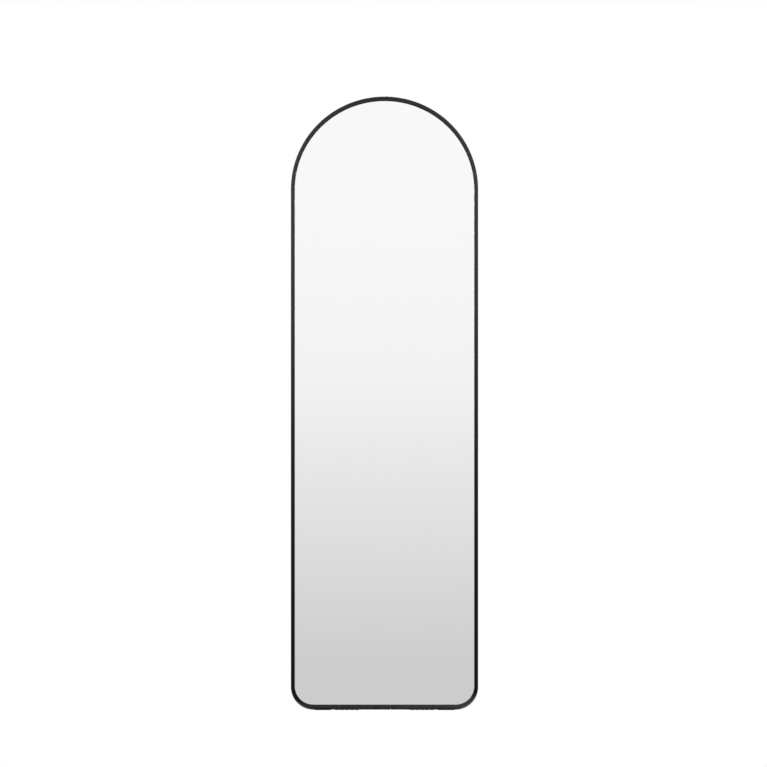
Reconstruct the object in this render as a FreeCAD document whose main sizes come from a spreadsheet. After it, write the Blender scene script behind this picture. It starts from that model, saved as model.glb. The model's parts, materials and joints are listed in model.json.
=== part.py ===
"""Arched full-length mirror that leans back on a fold-out stand.

Millimetres, +Z up, the glass faces -Y, and the origin is the middle of the footprint on the floor.
The mirror's pieces are drawn upright, with the frame's front at y = 0 and its lower edge at z = 0, and
MirrorSeat leans them back. The stand is drawn about its pivot axis, and StandSeat swings it to the floor.
"""
import FreeCAD, Part
import math
import operator
import os

import Sketcher
from FreeCAD import Vector

SIZES = {
    # Outline of the frame
    "height": 1650.0,
    "width": 500.0,
    "corner_radius": 60.0,
    "lean_angle": 8.0,
    # Section of the extrusion
    "frame_depth": 25.0,
    "face_width": 10.6,
    "outer_wall": 1.4,
    "front_wall": 1.4,
    "rear_wall": 1.4,
    "rib_wall": 1.4,
    "lip_depth": 3.0,
    "lip_wall": 1.4,
    "channel_lip": 1.6,
    "outer_edge_round": 1.6,
    "inner_edge_round": 1.0,
    # Seams between the halves, measured from the middle towards +X
    "sill_seam_offset": 16.5,
    "sill_seam_gap": 0.9,
    "sill_seam_chamfer": 0.6,
    "crown_seam_offset": 6.5,
    "crown_seam_gap": 0.2,
    "bead_width": 3.6,
    "bead_height": 1.3,
    # Glass and what holds it in the groove
    "gasket_squeeze": 0.8,
    "gasket_setback": 1.8,
    "gasket_clearance": 0.2,
    "glass_thickness": 4.0,
    "film_thickness": 0.3,
    "board_thickness": 3.0,
    "edge_clearance": 1.6,
    "block_length": 40.0,
    "block_gap": 50.0,
    "clip_room": 1.7,
    "clip_length": 44.0,
    "clip_width": 12.0,
    "clip_sheet": 0.4,
    "clip_slack": 0.05,
    "clip_gap": 0.3,
    # Keys in the rear channel
    "key_length": 130.0,
    "key_clearance": 0.2,
    "key_screw_near": 18.0,
    "key_screw_end": 17.0,
    # Screws of the rear face
    "screw_diameter": 3.0,
    "screw_length": 6.0,
    "screw_head_diameter": 5.6,
    "screw_head_height": 1.8,
    "screw_head_round": 1.2,
    "screw_clearance": 0.2,
    "thread_clearance": 0.1,
    "recess_span": 3.0,
    "recess_width": 0.8,
    "recess_depth": 1.0,
    "nut_bar_thickness": 3.0,
    "nut_bar_end": 6.0,
    # Plates on the rear face, set back from its outer edge
    "plate_setback": 0.5,
    # Wall hangers
    "hanger_drop": 160.0,
    "hanger_sheet": 1.5,
    "hanger_width": 46.0,
    "hanger_length": 52.0,
    "hanger_round": 5.0,
    "hanger_screw_pitch": 30.0,
    "keyhole_inset": 26.0,
    "keyhole_diameter": 10.0,
    "keyhole_slot": 5.0,
    "keyhole_rise": 12.0,
    # Hinge brackets of the stand
    "bracket_sheet": 2.0,
    "bracket_bend": 2.0,
    "bracket_length": 46.0,
    "bracket_round": 4.0,
    "bracket_screw_pitch": 30.0,
    "ear_width": 22.0,
    "ear_margin": 9.0,
    "pivot_height": 900.0,
    "pivot_diameter": 5.0,
    "pivot_clearance": 0.05,
    "pivot_head_diameter": 9.5,
    "pivot_head_height": 2.8,
    "pivot_head_round": 1.8,
    "pivot_socket": 3.0,
    "pivot_socket_depth": 1.6,
    "pivot_bolt_end": 1.0,
    "washer_thickness": 1.0,
    "washer_diameter": 10.0,
    "side_play": 0.3,
    "nut_width": 8.0,
    "nut_height": 4.0,
    "nut_collar_height": 1.6,
    "nut_collar_diameter": 7.4,
    # Stand
    "stand_angle": 7.3,
    "stand_inset": 25.0,
    "tube_diameter": 12.0,
    "tube_wall": 1.0,
    "heel_length": 11.0,
    "stand_bend": 70.0,
    "stop_gap": 0.3,
    "plug_flange": 1.5,
    "plug_stub": 5.0,
    "plug_clearance": 0.1,
    "sleeve_diameter": 16.0,
    "sleeve_length": 64.0,
    "sleeve_gap": 23.0,
    "sleeve_groove_width": 3.0,
    "sleeve_groove_depth": 0.8,
    "sleeve_clearance": 0.05,
    # Pads and bumpers
    "pad_height": 1.0,
    "pad_length": 44.0,
    "pad_depth": 11.0,
    "pad_setback": 1.0,
    "pad_gap": 3.0,
    "bumper_diameter": 8.0,
    "bumper_height": 3.0,
    "bumper_round": 1.5,
    "bumper_rise": 50.0,
    "bumper_drop": 70.0,
    # How far a cut runs past the wall it opens
    "overrun": 2.0,
}
CLIP_SILL_SHARES = (-0.62, 0.62)
CLIP_SIDE_SHARES = (0.14, 0.38, 0.62, 0.86)
CLIP_ARCH_SHARES = (-0.62, -0.24, 0.24, 0.62)
SLEEVE_GROOVE_SHARES = (-0.3, -0.1, 0.1, 0.3)

doc = FreeCAD.newDocument("ArchedMirror")
nodes = []


class Formula:
    """A size as its number now and as the sheet formula that keeps it up to date."""

    def __init__(self, text, value):
        self.text = text
        self.value = value

    def __add__(self, other):
        return join(self, "+", operator.add, other)

    def __radd__(self, other):
        return join(other, "+", operator.add, self)

    def __sub__(self, other):
        return join(self, "-", operator.sub, other)

    def __rsub__(self, other):
        return join(other, "-", operator.sub, self)

    def __mul__(self, other):
        return join(self, "*", operator.mul, other)

    def __rmul__(self, other):
        return join(other, "*", operator.mul, self)

    def __truediv__(self, other):
        return join(self, "/", operator.truediv, other)

    def __neg__(self):
        return join(0, "-", operator.sub, self)


def formula(term):
    """A plain number becomes a formula, and a formula stays as it is."""
    if isinstance(term, Formula):
        return term
    return Formula(f"({term})", float(term))


def join(left, sign, work, right):
    """Both readings of a sum, difference, product or quotient."""
    left = formula(left)
    right = formula(right)
    return Formula(f"({left.text} {sign} {right.text})", work(left.value, right.value))


def sine(angle):
    angle = formula(angle)
    return Formula(f"sin({angle.text})", math.sin(math.radians(angle.value)))


def cosine(angle):
    angle = formula(angle)
    return Formula(f"cos({angle.text})", math.cos(math.radians(angle.value)))


def root(square):
    return Formula(f"sqrt({square.text})", math.sqrt(square.value))


class Sizes:
    """The driving dimensions, each an aliased cell of the sheet."""

    def __init__(self, values):
        sheet = doc.addObject("Spreadsheet::Sheet", "Sizes")
        for row, (name, value) in enumerate(values.items(), start=1):
            sheet.set(f"A{row}", name)
            sheet.set(f"B{row}", str(value))
            sheet.setAlias(f"B{row}", name)
            setattr(self, name, Formula(f"Sizes.{name}", value))
        doc.recompute()


size = Sizes(SIZES)

# Levels through the depth of the frame, from its front face
glass_front = size.lip_depth + size.gasket_squeeze
film_front = glass_front + size.glass_thickness
board_front = film_front + size.film_thickness
board_back = board_front + size.board_thickness
rib_front = board_back + size.clip_room
channel_front = rib_front + size.rib_wall
channel_back = size.frame_depth - size.rear_wall
channel_inner = size.face_width - size.lip_wall
channel_middle = (size.outer_wall + channel_inner) / 2
glass_inset = size.outer_wall + size.edge_clearance
half_width = size.width / 2
arch_centre = size.height - half_width
screw_hole_radius = size.screw_diameter / 2 + size.screw_clearance
thread_radius = size.screw_diameter / 2 + size.thread_clearance

key_screw_far = size.key_length / 2 - size.key_screw_end
hanger_height = arch_centre - size.hanger_drop
sill_end = half_width - size.corner_radius

# The stand: its heel meets the stop plate as its sleeves meet the floor
leg_x = half_width - size.stand_inset
tube_radius = size.tube_diameter / 2
pivot_radius = size.pivot_diameter / 2
sleeve_radius = size.sleeve_diameter / 2
opening_angle = size.lean_angle + size.stand_angle
pivot_standoff = (size.bracket_sheet + size.stop_gap + tube_radius * cosine(opening_angle)
                  + size.heel_length * sine(opening_angle))
pivot_y = pivot_standoff * cosine(size.lean_angle) + size.pivot_height * sine(size.lean_angle)
pivot_z = (size.pad_height - pivot_standoff * sine(size.lean_angle)
           + size.pivot_height * cosine(size.lean_angle))
leg_length = (pivot_z - sleeve_radius) / cosine(size.stand_angle)
tube_end = size.heel_length - size.plug_flange
sleeve_x = leg_x - size.stand_bend - size.sleeve_gap - size.sleeve_length / 2
ear_outer = leg_x - tube_radius - size.side_play - size.washer_thickness
ear_inner = ear_outer - size.bracket_sheet
nut_seat = leg_x + tube_radius + size.side_play + size.washer_thickness

# The footprint runs from the rounded front edge of the sill to the back of the sleeves
front_y = (size.outer_edge_round * (cosine(size.lean_angle) + sine(size.lean_angle) - 1)
           - size.frame_depth * cosine(size.lean_angle))
rear_y = pivot_y + leg_length * sine(size.stand_angle) + sleeve_radius
footprint_middle = (front_y + rear_y) / 2


def seat(name, x, y, z, lean):
    """A carrying placement: a point of the model and a turn about X."""
    holder = doc.addObject("App::Placement", name)
    where = ";".join(formula(term).text for term in (x, y, z))
    holder.setExpression("Placement", f"placement(vector({where}); rotation(vector(1; 0; 0); {lean.text}))")
    doc.recompute()
    return holder


def sit(piece, holder, x=0, y=0, z=0, turn=0, about=(0, 1, 0)):
    """Binds a piece's placement to its holder, at a point and turn in the holder's own frame."""
    where = ";".join(formula(term).text for term in (x, y, z))
    axis = ";".join(str(term) for term in about)
    step = f"placement(vector({where}); rotation(vector({axis}); {formula(turn).text}))"
    piece.setExpression("Placement", f"{holder.Name}.Placement * {step}")


mirror_seat = seat(
    "MirrorSeat",
    0,
    -size.frame_depth * cosine(size.lean_angle) - footprint_middle,
    size.pad_height + size.frame_depth * sine(size.lean_angle),
    -size.lean_angle,
)
stand_seat = seat("StandSeat", 0, pivot_y - footprint_middle, pivot_z, size.stand_angle)


class Arc:
    """A round stretch of an outline up to its end point, turning left (+1) or right (-1)."""

    def __init__(self, end, centre, radius, turn):
        self.end = end
        self.centre = centre
        self.radius = radius
        self.turn = turn


def point(place):
    return Vector(formula(place[0]).value, formula(place[1]).value, 0)


def hold(sketch, kind, place, *where):
    """Adds a distance or radius constraint that is bound to its formula."""
    place = formula(place)
    index = sketch.addConstraint(Sketcher.Constraint(kind, *where, place.value))
    sketch.setExpression(f"Constraints[{index}]", place.text)


def arc_edge(start, arc):
    """The arc from a start point round its centre."""
    centre = point(arc.centre)
    first = point(start) - centre
    last = point(arc.end) - centre
    angles = [math.atan2(first.y, first.x), math.atan2(last.y, last.x)]
    if arc.turn < 0:
        angles.reverse()
    circle = Part.Circle(centre, Vector(0, 0, 1), first.Length)
    return Part.ArcOfCircle(circle, *angles)


def draw(sketch, start, steps, closed=True):
    """Draws an outline: a step is a point reached by a line, or an Arc."""
    edges = []
    here = start
    for step in steps:
        if isinstance(step, Arc):
            edge = sketch.addGeometry(arc_edge(here, step), False)
            ends = (1, 2) if step.turn > 0 else (2, 1)
            end = step.end
        else:
            edge = sketch.addGeometry(Part.LineSegment(point(here), point(step)), False)
            ends = (1, 2)
            end = step
        edges.append((edge, ends, here, step))
        here = end
    for edge, ends, begin, step in edges:
        hold(sketch, "DistanceX", begin[0], -1, 1, edge, ends[0])
        hold(sketch, "DistanceY", begin[1], -1, 1, edge, ends[0])
        if isinstance(step, Arc):
            hold(sketch, "Radius", step.radius, edge)
    for (edge, ends, _, _), (after, after_ends, _, _) in zip(edges, edges[1:]):
        sketch.addConstraint(Sketcher.Constraint("Coincident", edge, ends[1], after, after_ends[0]))
    last_edge, last_ends = edges[-1][0], edges[-1][1]
    if closed:
        first_edge, first_ends = edges[0][0], edges[0][1]
        ring = Sketcher.Constraint("Coincident", last_edge, last_ends[1], first_edge, first_ends[0])
        sketch.addConstraint(ring)
    else:
        hold(sketch, "DistanceX", here[0], -1, 1, last_edge, last_ends[1])
        hold(sketch, "DistanceY", here[1], -1, 1, last_edge, last_ends[1])


def draw_circle(sketch, centre, radius):
    edge = sketch.addGeometry(Part.Circle(point(centre), Vector(0, 0, 1), formula(radius).value), False)
    hold(sketch, "Radius", radius, edge)
    hold(sketch, "DistanceX", centre[0], -1, 1, edge, 3)
    hold(sketch, "DistanceY", centre[1], -1, 1, edge, 3)


def rectangle(sketch, left, low, right, high):
    draw(sketch, (left, low), [(right, low), (right, high), (left, high), (left, low)])


def rounded_rectangle(sketch, left, low, right, high, radius):
    draw(sketch, (left + radius, low), [
        (right - radius, low),
        Arc((right, low + radius), (right - radius, low + radius), radius, 1),
        (right, high - radius),
        Arc((right - radius, high), (right - radius, high - radius), radius, 1),
        (left + radius, high),
        Arc((left, high - radius), (left + radius, high - radius), radius, 1),
        (left, low + radius),
        Arc((left + radius, low), (left + radius, low + radius), radius, 1),
    ])


def new_body(name):
    return doc.addObject("PartDesign::Body", name)


def new_sketch(body, plane, offset=0):
    """A sketch on one of the body's own planes, moved along the plane's normal."""
    support = [feature for feature in body.Origin.OriginFeatures if feature.Role == plane][0]
    sketch = body.newObject("Sketcher::SketchObject", f"{body.Name}_sketch")
    sketch.AttachmentSupport = [(support, "")]
    sketch.MapMode = "FlatFace"
    sketch.setExpression("AttachmentOffset", f"placement(vector(0; 0; {formula(offset).text}); "
                                             "rotation(vector(0; 0; 1); 0))")
    return sketch


def depth_sketch(body, depth):
    """A sketch in a plane parallel to the glass, at a depth behind the frame's front."""
    return new_sketch(body, "XZ_Plane", -formula(depth))


def pad(body, sketch, length, backwards=False, both_ways=False):
    feature = body.newObject("PartDesign::Pad", f"{body.Name}_pad")
    feature.Profile = sketch
    feature.Reversed = backwards
    feature.Midplane = both_ways
    feature.setExpression("Length", formula(length).text)
    doc.recompute()
    return feature


def pocket(body, sketch, length, backwards=False):
    """Cuts a sketch through the body, and stops if nothing came away."""
    before = body.Shape.Volume
    feature = body.newObject("PartDesign::Pocket", f"{body.Name}_pocket")
    feature.Profile = sketch
    feature.Reversed = backwards
    feature.setExpression("Length", formula(length).text)
    doc.recompute()
    if not body.Shape.Volume < before:
        raise RuntimeError(f"{body.Name}: the pocket cuts nothing")
    return feature


def revolve(body, sketch, axis):
    feature = body.newObject("PartDesign::Revolution", f"{body.Name}_revolve")
    feature.Profile = sketch
    feature.ReferenceAxis = (sketch, [axis])
    doc.recompute()
    return feature


def sweep(body, profile, path):
    feature = body.newObject("PartDesign::AdditivePipe", f"{body.Name}_sweep")
    feature.Profile = profile
    feature.Spine = path
    doc.recompute()
    return feature


def keep(piece, label):
    """Names a finished sub-part, which is written to a file of that name."""
    piece.Label = label
    nodes.append(piece)


def copies(label, master, holder, places):
    """One node of like pieces: each place is (x, y, z) or (x, y, z, turn, axis of the turn)."""
    links = []
    for number, place in enumerate(places, start=1):
        link = doc.addObject("App::Link", f"{label}_{number}")
        link.LinkedObject = master
        sit(link, holder, *place)
        links.append(link)
    group = doc.addObject("Part::Compound", label)
    group.Links = links
    keep(group, label)


def arch_outline(sketch, inset):
    """The frame's outline, moved inwards: rounded lower corners, straight sides, half-round top."""
    side = half_width - inset
    corner = size.corner_radius - inset
    draw(sketch, (-sill_end, inset), [
        (sill_end, inset),
        Arc((side, size.corner_radius), (sill_end, size.corner_radius), corner, 1),
        (side, arch_centre),
        Arc((0, arch_centre + side), (0, arch_centre), side, 1),
        Arc((-side, arch_centre), (0, arch_centre), side, 1),
        (-side, size.corner_radius),
        Arc((-sill_end, inset), (-sill_end, size.corner_radius), corner, 1),
    ])


def arched_sheet(label, inset, front, thickness):
    """A flat sheet of the arch's shape, at its depth in the frame."""
    body = new_body(label)
    sketch = depth_sketch(body, front)
    arch_outline(sketch, inset)
    pad(body, sketch, thickness, backwards=True)
    sit(body, mirror_seat)
    keep(body, label)


def crown_point(distance, radius):
    """A point of the arch at a distance along it from the middle of the crown."""
    turn = distance / radius * (180 / math.pi)
    return radius * sine(turn), arch_centre + radius * cosine(turn)


def frame_section(sketch):
    """The extrusion's section: x runs from the front to the back, y from the outside inwards."""
    face = size.face_width
    outer = size.outer_edge_round
    inner = size.inner_edge_round
    lip_edge = face - size.lip_wall
    draw(sketch, (outer, 0), [
        (size.frame_depth, 0),
        (size.frame_depth, face),
        (channel_back - size.channel_lip, face),
        (channel_back - size.channel_lip, channel_inner),
        (channel_back, channel_inner),
        (channel_back, size.outer_wall),
        (channel_front, size.outer_wall),
        (channel_front, channel_inner),
        (channel_front + size.channel_lip, channel_inner),
        (channel_front + size.channel_lip, face),
        (rib_front, face),
        (rib_front, size.outer_wall),
        (size.front_wall, size.outer_wall),
        (size.front_wall, lip_edge),
        (size.lip_depth, lip_edge),
        (size.lip_depth, face),
        (inner, face),
        Arc((0, face - inner), (inner, face - inner), inner, 1),
        (0, outer),
        Arc((outer, 0), (outer, outer), outer, 1),
    ])


def key_screw_places():
    """Screws of both keys, as points of the rear face."""
    radius = half_width - channel_middle
    places = []
    for side in (-1, 1):
        for step in (size.key_screw_near, key_screw_far):
            places.append((side, crown_point(size.crown_seam_offset + side * step, radius)))
            places.append((side, (size.sill_seam_offset + side * step, channel_middle)))
    return places


def rail_screw_places(side, middle, pitch):
    """Two screws of a plate on a side rail, as points of the rear face."""
    x = side * (half_width - channel_middle)
    return [(x, middle - pitch / 2), (x, middle + pitch / 2)]


def frame_half(label, side):
    """One bent half of the frame, from the seam in the sill round to the seam in the crown."""
    body = new_body(label)
    sill_seam = size.sill_seam_offset + side * size.sill_seam_gap / 2
    crown_seam = size.crown_seam_offset + side * size.crown_seam_gap / 2
    corner = (side * sill_end, size.corner_radius)
    rail_x = side * half_width
    crown_z = arch_centre + root(half_width * half_width - crown_seam * crown_seam)
    path = depth_sketch(body, 0)
    draw(path, (sill_seam, 0), [
        (corner[0], 0),
        Arc((rail_x, size.corner_radius), corner, size.corner_radius, side),
        (rail_x, arch_centre),
        Arc((crown_seam, crown_z), (0, arch_centre), half_width, side),
    ], closed=False)
    section = new_sketch(body, "YZ_Plane", sill_seam)
    frame_section(section)
    sweep(body, section, path)
    holes = depth_sketch(body, channel_back - size.overrun)
    for hole_side, place in key_screw_places():
        if hole_side == side:
            draw_circle(holes, place, screw_hole_radius)
    for middle, pitch in ((size.pivot_height, size.bracket_screw_pitch),
                          (hanger_height, size.hanger_screw_pitch)):
        for place in rail_screw_places(side, middle, pitch):
            draw_circle(holes, place, screw_hole_radius)
    pocket(body, holes, size.rear_wall + 2 * size.overrun)
    deburr_sill_end(body, side, sill_seam)
    sit(body, mirror_seat)
    keep(body, label)


def deburr_sill_end(body, side, seam):
    """Takes the corners off the cut end in the sill, on its outer and its inner edge."""
    bevel = size.sill_seam_chamfer
    past_x = seam - side * size.overrun
    ends = ((0, 1), (size.face_width, -1))
    cut = depth_sketch(body, -size.overrun)
    for edge, inwards in ends:
        past_z = edge - inwards * size.overrun
        draw(cut, (seam, edge + inwards * bevel), [
            (seam + side * bevel, edge),
            (seam + side * bevel, past_z),
            (past_x, past_z),
            (past_x, edge + inwards * bevel),
            (seam, edge + inwards * bevel),
        ])
    pocket(body, cut, size.frame_depth + 2 * size.overrun)


def crown_bead():
    """A bead of filler on the outer face, over the seam in the crown."""
    body = new_body("crown_bead")
    half = size.bead_width / 2
    rise = size.bead_height
    left = crown_point(size.crown_seam_offset - half, half_width)
    right = crown_point(size.crown_seam_offset + half, half_width)
    radius = (half * half + rise * rise) / (2 * rise)
    middle = crown_point(size.crown_seam_offset, half_width)
    sketch = depth_sketch(body, size.outer_edge_round)
    draw(sketch, left, [
        Arc(right, (middle[0], middle[1] + rise - radius), radius, -1),
        Arc(left, (0, arch_centre), half_width, 1),
    ])
    pad(body, sketch, size.frame_depth - size.outer_edge_round, backwards=True)
    sit(body, mirror_seat)
    keep(body, "crown_bead")


def glazing_gasket():
    """A strip round the lip, between its return and the front of the glass."""
    body = new_body("glazing_gasket")
    sketch = depth_sketch(body, size.front_wall)
    arch_outline(sketch, size.outer_wall + size.gasket_setback)
    arch_outline(sketch, size.face_width - size.lip_wall - size.gasket_clearance)
    pad(body, sketch, glass_front - size.front_wall, backwards=True)
    sit(body, mirror_seat)
    keep(body, "glazing_gasket")


def setting_blocks():
    """Blocks in the sill under the edges of glass, film and board."""
    master = new_body("setting_block")
    sketch = depth_sketch(master, glass_front)
    rectangle(sketch, -size.block_length / 2, size.outer_wall, size.block_length / 2, glass_inset)
    pad(master, sketch, board_back - glass_front, backwards=True)
    middle = sill_end - size.block_gap - size.block_length / 2
    copies("setting_blocks", master, mirror_seat, [(-middle,), (middle,)])


def spring_clips():
    """Bowed strips between the rib and the board: the middle bears on the board, the ends on the rib.

    They stand off the outer wall by the arch's bow over a strip's length, so that one strip fits all rails.
    """
    master = new_body("spring_clip")
    half = size.clip_length / 2
    rise = size.clip_room - size.clip_sheet - 2 * size.clip_slack
    radius = (half * half + rise * rise) / (2 * rise)
    low = board_back + size.clip_slack
    arch_wall = half_width - size.outer_wall
    arch_bow = arch_wall - root(arch_wall * arch_wall - half * half)
    sketch = new_sketch(master, "XY_Plane", size.outer_wall + arch_bow + size.clip_gap)
    draw(sketch, (-half, low + rise), [
        Arc((half, low + rise), (0, low + radius), radius, 1),
        (half, low + rise + size.clip_sheet),
        Arc((-half, low + rise + size.clip_sheet), (0, low + radius + size.clip_sheet), radius, -1),
        (-half, low + rise),
    ])
    pad(master, sketch, size.clip_width)
    straight = arch_centre - size.corner_radius
    places = [(share * sill_end, 0, 0) for share in CLIP_SILL_SHARES]
    for share in CLIP_SIDE_SHARES:
        height = size.corner_radius + share * straight
        places.append((-half_width, 0, height, 90))
        places.append((half_width, 0, height, -90))
    for share in CLIP_ARCH_SHARES:
        turn = share * 90
        places.append((half_width * sine(turn), 0, arch_centre + half_width * cosine(turn), turn + 180))
    copies("spring_clips", master, mirror_seat, places)


def sill_key():
    """A straight bar in the channel across the seam in the sill."""
    body = new_body("sill_key")
    sketch = depth_sketch(body, channel_front + size.key_clearance)
    rectangle(sketch, size.sill_seam_offset - size.key_length / 2, size.outer_wall + size.key_clearance,
              size.sill_seam_offset + size.key_length / 2, channel_inner - size.key_clearance)
    for side in (-1, 1):
        for step in (size.key_screw_near, key_screw_far):
            draw_circle(sketch, (size.sill_seam_offset + side * step, channel_middle), thread_radius)
    pad(body, sketch, channel_back - channel_front - size.key_clearance, backwards=True)
    sit(body, mirror_seat)
    keep(body, "sill_key")


def crown_key():
    """A bar bent to the arch, in the channel across the seam in the crown."""
    body = new_body("crown_key")
    outer = half_width - size.outer_wall - size.key_clearance
    inner = half_width - channel_inner + size.key_clearance
    left = size.crown_seam_offset - size.key_length / 2
    right = size.crown_seam_offset + size.key_length / 2
    scale = inner / outer
    outer_left = crown_point(left, outer)
    outer_right = crown_point(right, outer)
    inner_left = crown_point(left * scale, inner)
    inner_right = crown_point(right * scale, inner)
    centre = (0, arch_centre)
    sketch = depth_sketch(body, channel_front + size.key_clearance)
    draw(sketch, outer_left, [
        Arc(outer_right, centre, outer, -1),
        inner_right,
        Arc(inner_left, centre, inner, 1),
        outer_left,
    ])
    for side in (-1, 1):
        for step in (size.key_screw_near, key_screw_far):
            place = crown_point(size.crown_seam_offset + side * step, half_width - channel_middle)
            draw_circle(sketch, place, thread_radius)
    pad(body, sketch, channel_back - channel_front - size.key_clearance, backwards=True)
    sit(body, mirror_seat)
    keep(body, "crown_key")


def nut_bar(label, side, middle, pitch):
    """A tapped bar in the channel of a side rail, pulled against the inside of the rear wall."""
    body = new_body(label)
    sketch = depth_sketch(body, channel_back - size.nut_bar_thickness)
    near = side * (half_width - channel_inner + size.key_clearance)
    far = side * (half_width - size.outer_wall - size.key_clearance)
    reach = pitch / 2 + size.nut_bar_end
    rectangle(sketch, near, middle - reach, far, middle + reach)
    for place in rail_screw_places(side, middle, pitch):
        draw_circle(sketch, place, thread_radius)
    pad(body, sketch, size.nut_bar_thickness, backwards=True)
    sit(body, mirror_seat)
    keep(body, label)


def pan_head_screw():
    """The screw of the rear face: its head sits on y = 0 and its shank points to the front."""
    master = new_body("pan_head_screw")
    shank = size.screw_diameter / 2
    head = size.screw_head_diameter / 2
    top = size.screw_head_height
    bend = size.screw_head_round
    sketch = new_sketch(master, "XY_Plane")
    draw(sketch, (0, -size.screw_length), [
        (shank, -size.screw_length),
        (shank, 0),
        (head, 0),
        (head, top - bend),
        Arc((head - bend, top), (head - bend, top - bend), bend, 1),
        (0, top),
        (0, -size.screw_length),
    ])
    revolve(master, sketch, "V_Axis")
    span = size.recess_span / 2
    arm = size.recess_width / 2
    cross = depth_sketch(master, top)
    draw(cross, (-span, -arm), [
        (-arm, -arm), (-arm, -span), (arm, -span), (arm, -arm), (span, -arm), (span, arm),
        (arm, arm), (arm, span), (-arm, span), (-arm, arm), (-span, arm), (-span, -arm),
    ])
    pocket(master, cross, size.recess_depth, backwards=True)
    return master


def rear_screws():
    """The screws of keys, hangers and brackets, one node for each use."""
    screw = pan_head_screw()
    rear = size.frame_depth
    copies("key_screws", screw, mirror_seat, [(x, rear, z) for _, (x, z) in key_screw_places()])
    uses = (
        ("hanger_screws", hanger_height, size.hanger_screw_pitch, rear + size.hanger_sheet),
        ("bracket_screws", size.pivot_height, size.bracket_screw_pitch, rear + size.bracket_sheet),
    )
    for label, middle, pitch, head_seat in uses:
        places = rail_screw_places(-1, middle, pitch) + rail_screw_places(1, middle, pitch)
        copies(label, screw, mirror_seat, [(x, head_seat, z) for x, z in places])


def hanger_plate(label, side):
    """A plate on the rear face with a keyhole: a wall screw's head enters below and rises into the slot."""
    body = new_body(label)
    outer = half_width - size.plate_setback
    sketch = depth_sketch(body, size.frame_depth)
    left, right = sorted((side * outer, side * (outer - size.hanger_width)), key=lambda term: term.value)
    low = hanger_height - size.hanger_length / 2
    high = hanger_height + size.hanger_length / 2
    rounded_rectangle(sketch, left, low, right, high, size.hanger_round)
    for place in rail_screw_places(side, hanger_height, size.hanger_screw_pitch):
        draw_circle(sketch, place, screw_hole_radius)
    middle = side * (half_width - size.keyhole_inset)
    slot = size.keyhole_slot / 2
    entry = size.keyhole_diameter / 2
    entry_z = hanger_height - size.keyhole_rise / 2
    slot_z = hanger_height + size.keyhole_rise / 2
    shoulder_z = entry_z + root(entry * entry - slot * slot)
    draw(sketch, (middle - slot, shoulder_z), [
        Arc((middle + slot, shoulder_z), (middle, entry_z), entry, 1),
        (middle + slot, slot_z),
        Arc((middle, slot_z + slot), (middle, slot_z), slot, 1),
        Arc((middle - slot, slot_z), (middle, slot_z), slot, 1),
        (middle - slot, shoulder_z),
    ])
    pad(body, sketch, size.hanger_sheet, backwards=True)
    sit(body, mirror_seat)
    keep(body, label)


def stand_bracket(label, side):
    """A bent plate: its foot lies on the rail and stops the leg's heel, its ear carries the pivot."""
    body = new_body(label)
    rear = size.frame_depth
    sheet = size.bracket_sheet
    bend = size.bracket_bend
    tip = rear + pivot_standoff + size.ear_margin
    outer = half_width - size.plate_setback
    bend_x = side * (ear_outer + bend)
    bend_y = rear + sheet + bend
    section = new_sketch(body, "XY_Plane", size.pivot_height)
    draw(section, (side * outer, rear), [
        (bend_x, rear),
        Arc((side * ear_inner, bend_y), (bend_x, bend_y), bend + sheet, -side),
        (side * ear_inner, tip),
        (side * ear_outer, tip),
        (side * ear_outer, bend_y),
        Arc((bend_x, rear + sheet), (bend_x, bend_y), bend, side),
        (side * outer, rear + sheet),
        (side * outer, rear),
    ])
    pad(body, section, size.bracket_length, both_ways=True)
    holes = depth_sketch(body, rear - size.overrun)
    for place in rail_screw_places(side, size.pivot_height, size.bracket_screw_pitch):
        draw_circle(holes, place, screw_hole_radius)
    for way in (-1, 1):
        end = size.pivot_height + way * size.bracket_length / 2
        corner_cut(holes, side, outer, way, end, size.bracket_round)
    pocket(body, holes, sheet + 2 * size.overrun)
    trim_ear(body, side, tip)
    sit(body, mirror_seat)
    keep(body, label)


def corner_cut(sketch, side, outer, way, end, radius):
    """What is left over outside a rounded corner: side and way say which way the corner points."""
    along = side * (outer - radius)
    up = end - way * radius
    past_x = side * (outer + size.overrun)
    past_z = end + way * size.overrun
    draw(sketch, (side * outer, up), [
        Arc((along, end), (along, up), radius, side * way),
        (along, past_z),
        (past_x, past_z),
        (past_x, up),
        (side * outer, up),
    ])


def trim_ear(body, side, tip):
    """Narrows the ear to a tongue with a round end, and drills its pivot hole."""
    rear = size.frame_depth
    start = rear + size.bracket_sheet + size.bracket_bend
    half = size.bracket_length / 2 + size.overrun
    tongue = size.ear_width / 2
    bow = size.ear_margin
    pivot = rear + pivot_standoff
    past = tip + size.overrun
    cut = new_sketch(body, "YZ_Plane", side * (ear_inner - size.overrun))
    middle = size.pivot_height
    for way in (-1, 1):
        draw(cut, (start, middle + way * half), [
            (start, middle + way * tongue),
            (pivot, middle + way * bow),
            Arc((tip, middle), (pivot, middle), bow, -way),
            (past, middle),
            (past, middle + way * half),
            (start, middle + way * half),
        ])
    pocket(body, cut, size.bracket_sheet + 2 * size.overrun, backwards=side > 0)
    hole = new_sketch(body, "YZ_Plane", side * (ear_inner - size.overrun))
    draw_circle(hole, (pivot, middle), pivot_radius + size.pivot_clearance)
    pocket(body, hole, size.bracket_sheet + 2 * size.overrun, backwards=side > 0)


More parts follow.
